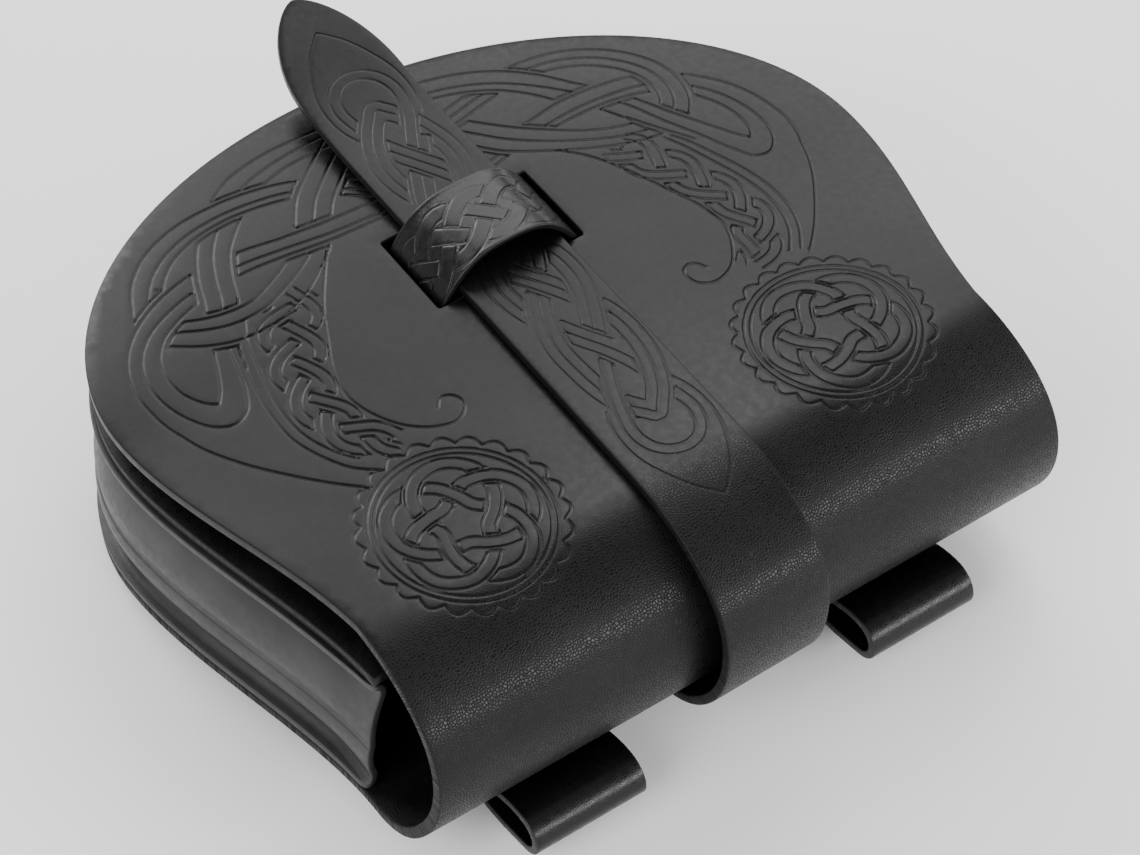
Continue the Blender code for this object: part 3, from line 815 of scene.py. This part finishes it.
def makeFrontPanel(material):
    step = frontPanel["outlineStep"]
    right = roundedEnd(panelShape)
    right += sideRun(panelShape, pouch["widestY"], frontPanel["mouthY"], step)
    right += [(x, frontPanel["mouthY"]) for x in spread(right[-1][0], 0, step)[1:-1]]
    mesh = sheetMesh("front_panel_leather", [mirroredLoop(right)], panelSurface, frontPanel["sheet"])
    addPiece("front_panel_leather", mesh, material, "tooled_leather", "front_panel")


gusset = {
    "sheet": {"grain": 0.45, "wall": 2.0, "round": 0.35, "cell": 2.2, "underCell": 4.0,
              "edgeTurns": (45, 90)},
    "groove": {"half": 0.30, "depth": 0.22, "shoulder": 0.6, "shoulderDepth": 0.03},
    "setIn": 3.6,
    "lip": 1.0,
    # share of the height between the flanges, share of how far the wall stands in
    "section": ((0, 0), (0, 0.60), (0.015, 0.90), (0.060, 1.00), (0.110, 0.76), (0.180, 0.30),
                (0.260, 0.00), (0.340, -0.08), (0.400, -0.02), (0.430, 0.07), (0.460, -0.02),
                (0.540, -0.12), (0.650, -0.04), (0.780, 0.28), (0.880, 0.74), (0.945, 1.00),
                (0.988, 0.90), (1, 0.60), (1, 0)),
    "mouthShare": 0.45,  # the wall stands out again at the mouth
    "mouthLength": 14.0,
    "corner": 3.2,
    "outlineSteps": (1.6, 1.0),  # along it, up it
    "stationStep": 1.0,
    "creaseRise": 0.43,
    "creaseLines": (-0.9, 0.9),
    "creaseInset": 0.5,
    "creaseStep": 2.0,
}


def gussetStations():
    # the back's and the front panel's outlines at the same stations, with the way out
    span = pouch["widestY"] - pouch["waistY"]
    side = []
    for y in spread(frontPanel["mouthY"], pouch["widestY"], gusset["stationStep"]):
        share = (y - pouch["waistY"]) / span
        easing = 6 * share * (1 - share)  # how steep ease() is there
        slope = (backShape["half"] - backShape["waist"]) * easing / span
        out = Vector((1, -slope)).normalized()
        side.append((halfWidth(backShape, y), y, halfWidth(panelShape, y), y, *out))
    side = np.array(side)
    end = []
    for a in np.radians(np.arange(179, 0, -1)):
        row = []
        for shape in (backShape, panelShape):
            row += [shape["half"] * math.cos(a), pouch["widestY"] + shape["length"] * math.sin(a)]
        out = Vector((backShape["length"] * math.cos(a), backShape["half"] * math.sin(a)))
        end.append((*row, *out.normalized()))
    rows = np.concatenate([side * (-1, 1, -1, 1, -1, 1), end, side[::-1]])
    return lengthAlong(rows[:, :2]), rows


def gussetSection():
    # smooth line through the section's rows: length, then inset, height and rise, then normal
    wall = gusset["sheet"]["wall"]
    low = wrap["sheet"]["wall"] + pouch["seamGap"] + wall
    high = pouch["rimHeight"] - frontPanel["sheet"]["wall"] - pouch["seamGap"] - wall
    points = np.array([(-inset * gusset["setIn"], low + (high - low) * rise, rise)
                       for rise, inset in gusset["section"]])
    points[-1, 0] += gusset["lip"]
    last = len(points) - 1
    fine = []
    for k in range(last):
        p0, p1, p2, p3 = (points[min(max(0, n), last)] for n in range(k - 1, k + 3))
        for t in (0, 0.25, 0.5, 0.75):
            fine.append(0.5 * (2 * p1 + (p2 - p0) * t + (2 * p0 - 5 * p1 + 4 * p2 - p3) * t * t
                               + (3 * p1 - p0 - 3 * p2 + p3) * t ** 3))
    fine = np.array(fine + [points[-1]])
    return lengthAlong(fine[:, :2]), fine, -leftOf(unitTangent(fine[:, :2]))


def makeGusset(material):
    stationAt, stations = gussetStations()
    sectionAt, section, sectionNormal = gussetSection()
    width, height = stationAt[-1], sectionAt[-1]

    def surface(flat):
        u = np.clip(flat[:, 0], 0, width)
        s = np.clip(flat[:, 1], 0, height)
        backX, backY, frontX, frontY, outX, outY = (
            np.interp(u, stationAt, column) for column in stations.T)
        inset, z, rise = (np.interp(s, sectionAt, column) for column in section.T)
        flatNormal, upNormal = (np.interp(s, sectionAt, column) for column in sectionNormal.T)
        fromMouth = ease(np.minimum(u, width - u) / gusset["mouthLength"])
        inset = inset * (gusset["mouthShare"] + (1 - gusset["mouthShare"]) * fromMouth)
        x = backX + (frontX - backX) * rise + outX * inset
        y = backY + (frontY - backY) * rise + outY * inset
        place = np.stack([x, skewed(x, y), z], 1)
        place += np.stack([outY, -outX, np.zeros_like(x)], 1) * (flat[:, 0] - u)[:, None]
        up = np.stack([-outX * upNormal, -outY * upNormal, flatNormal], 1)
        place += up * (flat[:, 1] - s)[:, None]
        return place, np.stack([outX * flatNormal, outY * flatNormal, upNormal], 1)

    loop = boxLoop(width, height, gusset["outlineSteps"], gusset["corner"])
    creaseAt = float(np.interp(gusset["creaseRise"], section[:, 2], sectionAt))
    across = spread(gusset["creaseInset"], width - gusset["creaseInset"], gusset["creaseStep"])
    lines = [np.stack([across, np.full(len(across), creaseAt + off)], 1)
             for off in gusset["creaseLines"]]
    mesh = sheetMesh("gusset_leather", [loop], surface, gusset["sheet"], lines, gusset["groove"])
    mesh.flip_normals()  # its stations run clockwise, which leaves the faces inside out
    addPiece("gusset_leather", mesh, material, "gusset_leather", "gusset")


strap = {
    "sheet": {"wall": 2.5, "round": 0.4, "cell": 1.6, "underCell": 3.5},
    "groove": {"half": 0.27, "depth": 0.22, "shoulder": 0.60, "shoulderDepth": 0.02},
    "outlineStep": 1.5,
    "half": 14.0,
    "tipY": 83.2,
    "tipLength": 28.0,
    "tipFullness": 0.65,
    "tipFine": (4.0, 8),  # length at the very tip with a finer outline, and its points
    "liftFromY": 38.0,
    "tipLift": 8.5,
    "liftStep": 0.04,
    "bendY": -81.7,
    "tailEndY": -58.0,
    "arcs": ((40, 0.396), (45, 0.236), (45, 0.419), (50, 0.272)),
}
strapKnot = {
    "middle": -0.1,
    "lean": 0.025,  # the plait runs slightly askew
    "swing": 8.5,
    "pitch": 93.6,
    "crossY": 27.0,
    "stations": 18,
    "firstStation": 0.08,  # shares of the pitch
    "stationStep": 0.05,
    "mirrorX": 0.5,
    "gap": 1.0,
    "turnAbout": (0.7, -10.0),
    "sides": 2.6,
    # the far end, charted; the near end is the same turned half round
    "loop": ((8.2, 43), (9.4, 48), (9.2, 52), (7.5, 56), (4, 59), (0.2, 60), (-4, 59), (-7, 56),
             (-8.5, 51), (-7.6, 44.5)),
    "chevron": ((4.2, 42.4), (1.7, 45.4), (0.3, 47.1), (-1.1, 45.4), (-3.6, 42.4)),
    "point": ((-8.4, 40.5), (-9.8, 44), (-10.7, 50), (-10.2, 56), (-8, 62), (-4.2, 68.4), (0.5, 73)),
}


def strapLines():
    # two closed strands, each a loop at one end of the plait and a chevron at the other
    knot = strapKnot
    sides = knot["sides"]
    stations = knot["firstStation"] - knot["stationStep"] * np.arange(knot["stations"])
    up = knot["crossY"] + knot["pitch"] * stations[::-1]

    def run(k, ys):
        turn = 2 * math.pi * ((ys - knot["crossY"]) / knot["pitch"] + k / 4)
        middle = knot["middle"] + knot["lean"] * (knot["crossY"] - ys)
        return [(x, y, sides, sides) for x, y in zip(middle + knot["swing"] * np.sin(turn), ys)]

    def turned(rows):
        aboutX, aboutY = knot["turnAbout"]
        return [(2 * aboutX - x, 2 * aboutY - y, *rest) for x, y, *rest in rows]

    loop = [(x, y, sides, 0) for x, y in knot["loop"]]
    chevron = [(x, y, sides, sides) for x, y in knot["chevron"]]
    strands = [run(0, up) + loop + run(2, up[::-1]) + turned(chevron),
               run(1, up) + chevron + run(3, up[::-1]) + turned(loop)]
    lines = interlace([makeBand(strand, closed=True) for strand in strands], False, knot["gap"])
    mirrored = [(2 * knot["mirrorX"] - x, y) for x, y in knot["point"]]
    for rows in (knot["point"], mirrored):
        lines += [evenLine(makeBand(end)["path"]) for end in (rows, turned(rows))]
    return lines


def strapPath():
    wall = strap["sheet"]["wall"]
    top = pouch["depth"] + pouch["seamGap"] + wall
    bottom = -pouch["seamGap"] - wall
    lift = strap["tipLift"]
    lifted = strap["tipY"] - strap["liftFromY"]
    slope = 2 * lift / lifted
    path = SidePath(strap["tipY"], top + lift, math.pi + math.atan(slope))
    for t in spread(1, 0, strap["liftStep"])[1:]:
        heading = math.pi + math.atan(slope * t)
        path.to(strap["liftFromY"] + lifted * t, top + lift * t * t, heading)
    path.to(strap["bendY"], top, math.pi)
    path.fall(strap["arcs"], top - bottom)
    path.to(strap["tailEndY"], bottom, 2 * math.pi)
    return path.table()


def makeStrap(material):
    path = strapPath()
    tip = strap["tipLength"]
    step = strap["outlineStep"]

    def surface(flat):
        y, z, heading = along(path, -flat[:, 1])
        return np.stack([flat[:, 0], y, z], 1), outward(heading)

    fine, count = strap["tipFine"]
    right = []
    for s in np.concatenate([np.arange(count) ** 2 * fine / count ** 2, spread(fine, tip, step)]):
        share = 1 - s / tip
        right.append((strap["half"] * (1 - share * share) ** strap["tipFullness"], -s))
    right += stripSide(strap["half"], tip, path[-1, 0], step)[1:]
    upper = path[path[:, 3] < math.pi * 1.5]  # down to where the fold turns back
    upper = upper[np.argsort(upper[:, 1])]
    lines = [np.stack([line[:, 0], -np.interp(line[:, 1], upper[:, 1], upper[:, 0])], 1)
             for line in strapLines()]
    mesh = sheetMesh("tooled_strap", [mirroredLoop(right)], surface, strap["sheet"], lines,
                     strap["groove"], grainAt=lambda flat: bendGrain(flat[:, 1] + strap["tipY"]))
    addPiece("tooled_strap", mesh, material, "tooled_leather", "strap")


keeper = {
    "sheet": {"grain": 0.1, "wall": 1.5, "round": 0.35, "cell": 0.5, "underCell": 2.0},
    "groove": {"half": 0.25, "depth": 0.20, "shoulder": 0.5, "shoulderDepth": 0.02},
    "outlineSteps": (1.0, 1.0),
    "halfX": 19.2,
    "nearY": -11.4,
    "farY": 10.8,
    "crest": (10.9, 10.2),  # near edge, far edge
    "fullness": (2.8, 3.0),
    "archPoints": 61,
    "spring": 1.5,
    "foot": 9.0,
    "footBend": 0.8,
    "footBendMiddle": 0.23,  # share of the bend at which its middle point stands
}
keeperKnot = {
    "strands": 4,
    "pitch": 42.0,
    "swing": 7.1,
    "middle": 9.9,
    "sides": 1.95,
    "reach": 24.0,
    "strandStep": 2.0,
    "gap": 0.35,
    "lineStep": 0.8,
    "margin": 0.9,
    "groundDepth": 0.08,
    "groundSlope": 0.4,
    "stipple": 0.05,
    "stippleWaves": (7.3, 2.1, 3.1, 8.1),
}


def keeperStrands(middle):
    knot = keeperKnot
    across = spread(-knot["reach"], knot["reach"], knot["strandStep"])
    strands = []
    for k in range(knot["strands"]):
        swing = np.sin(2 * math.pi * (across / knot["pitch"] + k / knot["strands"]))
        path = np.stack([across + middle, knot["middle"] + knot["swing"] * swing], 1)
        strands.append(makeBand(path, sides=knot["sides"], lines=(-1, 1)))
    return strands


def keeperSection(edge):
    # the arch over the strap with its feet, at the near edge (0) or the far one (1)
    half = keeper["halfX"]
    foot = float(panelHeight(half, 0)) + pouch["seamGap"] + keeper["sheet"]["wall"]
    x = -half * np.cos(np.linspace(0, math.pi, keeper["archPoints"]))
    rise = 1 - np.abs(x / half) ** keeper["fullness"][edge]
    rise *= keeper["crest"][edge] + keeper["spring"]
    arch = np.stack([x, pouch["depth"] - keeper["spring"] + rise], 1)
    bend = keeper["footBend"]
    part = keeper["footBendMiddle"] * bend
    left = np.array([(-half - keeper["foot"], foot), (-half - bend, foot),
                     (-half - part, foot + part), (-half, foot + bend)])
    points = np.concatenate([left, arch, left[::-1] * (-1, 1)])
    length = lengthAlong(points)
    return length / length[-1], points, leftOf(unitTangent(points)), length[-1]


def makeKeeper(material):
    sections = [keeperSection(edge) for edge in (0, 1)]
    total = (sections[0][3] + sections[1][3]) / 2
    width = keeper["farY"] - keeper["nearY"]

    def surface(flat):
        s = flat[:, 0] / total
        inside = np.clip(s, 0, 1)
        share = np.clip(flat[:, 1] / width, 0, 1)
        place = np.zeros((len(flat), 3))
        normal = np.zeros((len(flat), 3))
        for weight, (at, points, normals, _) in zip((1 - share, share), sections):
            for k, axis in ((0, 0), (1, 2)):
                place[:, axis] += np.interp(inside, at, points[:, k]) * weight
                normal[:, axis] += np.interp(inside, at, normals[:, k]) * weight
        place[:, 0] += (s - inside) * total
        place[:, 1] = keeper["nearY"] + flat[:, 1]
        return place, unit(normal)

    strands = keeperStrands(total / 2)
    lines = interlace(strands, True, keeperKnot["gap"], keeperKnot["lineStep"])
    middles = [strand["path"] for strand in strands]

    def ground(flat):
        # the leather between the strands is beaten down and stippled
        x, y = flat.T
        low = ease((distanceToLines(flat, middles) - keeperKnot["sides"]) / keeperKnot["groundSlope"])
        low *= np.minimum(y, width - y) > keeperKnot["margin"]
        low *= np.abs(x - total / 2) < keeperKnot["reach"]
        across, sway, swayWave, up = keeperKnot["stippleWaves"]
        dots = np.sin(x * across + sway * np.sin(y * swayWave)) * np.sin(y * up + x)
        return -low * (keeperKnot["groundDepth"] + keeperKnot["stipple"] * dots)

    loop = boxLoop(total, width, keeper["outlineSteps"])
    mesh = sheetMesh("tooled_keeper", [loop], surface, keeper["sheet"], lines, keeper["groove"], ground)
    addPiece("tooled_keeper", mesh, material, "tooled_leather", "keeper")


beltLoop = {
    "sheet": {"grain": 0.8, "wall": 2.2, "round": 0.4, "cell": 1.8, "underCell": 3.0},
    "outlineStep": 1.5,
    "width": 30.0,
    "centreX": 47.3,
    "riseY": -87.2,
    "sewnLength": 26.2,
    "rise": (25, 21.0),  # turn and radius
    "bend": (167, 6.3),
    "sagLength": 7.0,
    "sagRadius": 40.0,
    "flatLength": 22.0,
    "rampLength": 20.0,
    "rampSteps": 18,
    "endLength": 14.0,
}


def loopPath():
    turn, radius = beltLoop["rise"]
    rampLength = beltLoop["rampLength"]
    slope = math.tan(math.radians(pouch["tilt"]))
    path = SidePath(beltLoop["riseY"] + beltLoop["sewnLength"], -pouch["seamGap"])
    path.line(beltLoop["sewnLength"])
    path.arc(-turn, radius)
    path.arc(turn, radius)
    path.arc(*beltLoop["bend"])
    path.line(beltLoop["sagLength"])
    path.arc(180 - beltLoop["bend"][0] + pouch["tilt"], beltLoop["sagRadius"])
    path.line(beltLoop["flatLength"])
    _, y, z, _ = path.rows[-1]
    seat = -pouch["seamGap"] - beltLoop["sheet"]["wall"]
    for share in np.linspace(0, 1, beltLoop["rampSteps"] + 1)[1:]:
        level = z + rampLength * share * slope
        nextY = y + rampLength * share
        nextZ = level + (seat - level) * float(ease(share))
        _, lastY, lastZ, _ = path.rows[-1]
        path.to(nextY, nextZ, 2 * math.pi + math.atan2(nextZ - lastZ, nextY - lastY))
    path.rows[-1] = (*path.rows[-1][:3], 2 * math.pi)
    path.line(beltLoop["endLength"])
    return path.table()


def makeBeltLoop(name, node, side, material):
    path = loopPath()
    half = beltLoop["width"] / 2
    step = beltLoop["outlineStep"]

    def surface(flat):
        y, z, heading = along(path, -flat[:, 1])
        x = side * beltLoop["centreX"] + flat[:, 0]
        return np.stack([x, y - foldSkew(x), z], 1), outward(heading)

    right = [(x, 0) for x in spread(0, half, step)[1:-1]] + stripSide(half, 0, path[-1, 0], step)
    mesh = sheetMesh(name, [mirroredLoop(right)], surface, beltLoop["sheet"])
    addPiece(name, mesh, material, "loop_leather", node)


leathers = {
    "tooled": {
        "dark": (0.0024, 0.0024, 0.0025), "light": (0.0050, 0.0050, 0.0052),
        "edge": (0.006, 0.006, 0.006), "roughness": (0.24, 0.33), "specular": 0.20,
        "pebble": 0.32, "pebbleScale": 1320, "ripple": 0.22, "crackle": 0.44},
    "keeper": {
        "dark": (0.0022, 0.0022, 0.0023), "light": (0.0042, 0.0042, 0.0044),
        "edge": (0.006, 0.006, 0.006), "roughness": (0.24, 0.33), "specular": 0.34,
        "pebble": 0.3, "pebbleScale": 1300, "ripple": 0.3, "crackle": 0.22},
    # the side walls' leather: its colours are set several times lighter than the other leathers' as
    # painted light, brightening the side walls in place of the light that falls on them
    "gusset": {
        "dark": (0.012, 0.012, 0.0124), "light": (0.026, 0.026, 0.0268),
        "edge": (0.03, 0.03, 0.03), "roughness": (0.34, 0.44), "specular": 0.40,
        "pebble": 0.28, "pebbleScale": 1600, "ripple": 0.4, "crackle": 0.12},
    "loop": {
        "dark": (0.002, 0.002, 0.0021), "light": (0.004, 0.004, 0.0042),
        "edge": (0.02, 0.02, 0.02), "roughness": (0.19, 0.30), "specular": 0.28,
        "pebble": 0.10, "pebbleScale": 1400, "ripple": 0.25, "crackle": 0.22},
}
surfaceLook = {
    # what all leathers share; scales in cells per metre, the bump's depth in metres
    "cloud": {"scale": 38, "detail": 3, "roughness": 0.6},
    "cloudSpan": (0.35, 0.68),
    "dullness": {"scale": 500, "detail": 1, "roughness": 0.5},
    "dullnessSpan": (0.3, 0.7),
    "ripple": {"scale": 130, "detail": 2, "roughness": 0.5},
    "crackSpan": (0.02, 0.26),
    "edgeDullness": 0.12,
    "bumpStrength": 0.6,
    "bumpDepth": 0.00022,
}


def newMaterial(name):
    material = bpy.data.materials.new(name)
    material.use_nodes = True
    return material, material.node_tree, material.node_tree.nodes["Principled BSDF"]


def leatherMaterial(name, look):
    # dyed leather: a cloudy colour, a net of fine cracks that follows the piece's grain
    # attribute, soft ripples, and a duller cut edge
    material, tree, shader = newMaterial(name + "_leather")
    shader.inputs["Specular IOR Level"].default_value = look["specular"]

    def add(kind, output, inputs, **settings):
        # a node with its settings; an input takes a plain value or another node's output
        node = tree.nodes.new("ShaderNode" + kind)
        for title, value in settings.items():
            setattr(node, title, value)
        for title, value in inputs.items():
            if isinstance(value, bpy.types.NodeSocket):
                tree.links.new(value, node.inputs[title])
            else:
                node.inputs[title].default_value = value
        return node.outputs[output]

    flat = add("Attribute", "Vector", {}, attribute_name="flat")
    grain = add("Attribute", "Fac", {}, attribute_name="grain")
    cutEdge = add("Attribute", "Fac", {}, attribute_name="cutEdge")

    def noise(waves):
        inputs = {"Vector": flat, "Scale": waves["scale"], "Detail": waves["detail"],
                  "Roughness": waves["roughness"]}
        return add("TexNoise", "Fac", inputs, noise_dimensions="2D")

    def span(value, low, high, to0, to1):
        inputs = {"Value": value, "From Min": low, "From Max": high, "To Min": to0, "To Max": to1}
        return add("MapRange", "Result", inputs)

    def maths(operation, first, second):
        return add("Math", "Value", {0: first, 1: second}, operation=operation)

    def mixed(factor, first, second):
        return add("Mix", "Result", {"Factor": factor, "A": first, "B": second}, data_type="RGBA")

    dark, light, edge = ((*look[title], 1) for title in ("dark", "light", "edge"))
    cloud = span(noise(surfaceLook["cloud"]), *surfaceLook["cloudSpan"], 0, 1)
    tree.links.new(mixed(cutEdge, mixed(cloud, dark, light), edge), shader.inputs["Base Color"])

    pebble = add("TexVoronoi", "Distance", {"Scale": look["pebbleScale"], "Vector": flat},
                 voronoi_dimensions="2D", feature="DISTANCE_TO_EDGE")
    valleys = maths("MULTIPLY", span(pebble, *surfaceLook["crackSpan"], 1, 0), grain)
    dull = span(noise(surfaceLook["dullness"]), *surfaceLook["dullnessSpan"], *look["roughness"])
    rough = maths("ADD", dull, maths("MULTIPLY", cutEdge, surfaceLook["edgeDullness"]))
    rough = maths("ADD", rough, maths("MULTIPLY", valleys, look["crackle"]))
    tree.links.new(rough, shader.inputs["Roughness"])

    pebbles = maths("MULTIPLY", valleys, look["pebble"])
    ripple = maths("MULTIPLY", noise(surfaceLook["ripple"]), look["ripple"])
    bump = add("Bump", "Normal", {
        "Strength": surfaceLook["bumpStrength"],
        "Distance": surfaceLook["bumpDepth"],
        "Height": maths("SUBTRACT", ripple, pebbles),
    })
    tree.links.new(bump, shader.inputs["Normal"])
    return material


studio = {
    "floor": (0.93, 0.93, 0.93),
    "floorSize": 6,
    "floorRoughness": 0.8,
    "sky": 0.42,
}
softboxes = {
    # place, what it points at, size, power
    "back": ((0.44, 0.85, 0.76), (0.0, 0.0, 0.05), (1.4, 0.89), 13.8),
    "far": ((-0.35, 1.35, 0.70), (0.0, 0.0, 0.03), (1.0, 0.7), 15.0),
    "top": ((0.137, 0.10, 0.41), (0.0, 0.09, 0.07), (0.2, 0.2), 0.52),
    "front": ((0.40, -1.0, 0.38), (0.0, -0.08, 0.03), (1.1, 0.22), 12.0),
    "left": ((-1.15, -0.25, 0.85), (0.0, 0.0, 0.0), (0.9, 0.9), 16.0),
    "right": ((1.3, -0.4, 0.55), (0.0, 0.0, 0.0), (0.7, 0.5), 4.5),
}

view = {
    "azimuth": -34.94,  # measured on the pouch as drawn, before it is tipped
    "elevation": 51.07,
    "distance": 736.66,
    "right": 20.09,
    "up": -43.98,
    "lens": 100.0,
    "sensor": 36.0,
    "clipStart": 0.05,
}


def addCamera():
    a = math.radians(view["azimuth"])
    e = math.radians(view["elevation"])
    back = Vector((math.sin(a) * math.cos(e), -math.cos(a) * math.cos(e), math.sin(e)))
    right = Vector((math.cos(a), math.sin(a), 0))
    up = back.cross(right)
    place = back * view["distance"] + right * view["right"] + up * view["up"]
    place += Vector((0, 0, pouch["depth"]))
    local = Matrix((right, up, back)).transposed().to_4x4()
    local.translation = place * mm
    data = bpy.data.cameras.new("camera")
    data.lens = view["lens"]
    data.sensor_width = view["sensor"]
    data.clip_start = view["clipStart"]
    camera = addObject("camera", data)
    camera.matrix_world = lying @ local
    bpy.context.scene.camera = camera


def addArea(name, place, target, size, power):
    data = bpy.data.lights.new(name, "AREA")
    data.shape = "RECTANGLE"
    data.size, data.size_y = size
    data.energy = power
    light = addObject(name, data)
    light.location = place
    light.rotation_euler = (Vector(target) - Vector(place)).to_track_quat("-Z", "Y").to_euler()


def addStudio():
    bpy.ops.mesh.primitive_plane_add(size=studio["floorSize"], location=(0, 0, 0))
    floor = bpy.context.object
    floor.name = "floor"
    paint, _, shader = newMaterial("floor_paint")
    shader.inputs["Base Color"].default_value = (*studio["floor"], 1)
    shader.inputs["Roughness"].default_value = studio["floorRoughness"]
    floor.data.materials.append(paint)
    world = bpy.data.worlds.new("studio")
    bpy.context.scene.world = world
    world.use_nodes = True
    background = world.node_tree.nodes["Background"]
    background.inputs["Color"].default_value = (1, 1, 1, 1)
    background.inputs["Strength"].default_value = studio["sky"]
    for name, softbox in softboxes.items():
        addArea(name + "_softbox", *softbox)


bpy.ops.object.select_all(action="DESELECT")
addCamera()
addStudio()
print("camera and studio are in place")
tooled = leatherMaterial("tooled", leathers["tooled"])
# the side walls' leather, whose lighter colours are painted light on the side walls
sideLeatherPaintedLight = leatherMaterial("gusset", leathers["gusset"])
gloss = leatherMaterial("loop", leathers["loop"])
makeWrap(tooled)
makeFrontPanel(tooled)
makeGusset(sideLeatherPaintedLight)
makeStrap(tooled)
makeKeeper(leatherMaterial("keeper", leathers["keeper"]))
makeBeltLoop("left_loop", "belt_loop_left", -1, gloss)
makeBeltLoop("right_loop", "belt_loop_right", 1, gloss)
print("pouch is made")
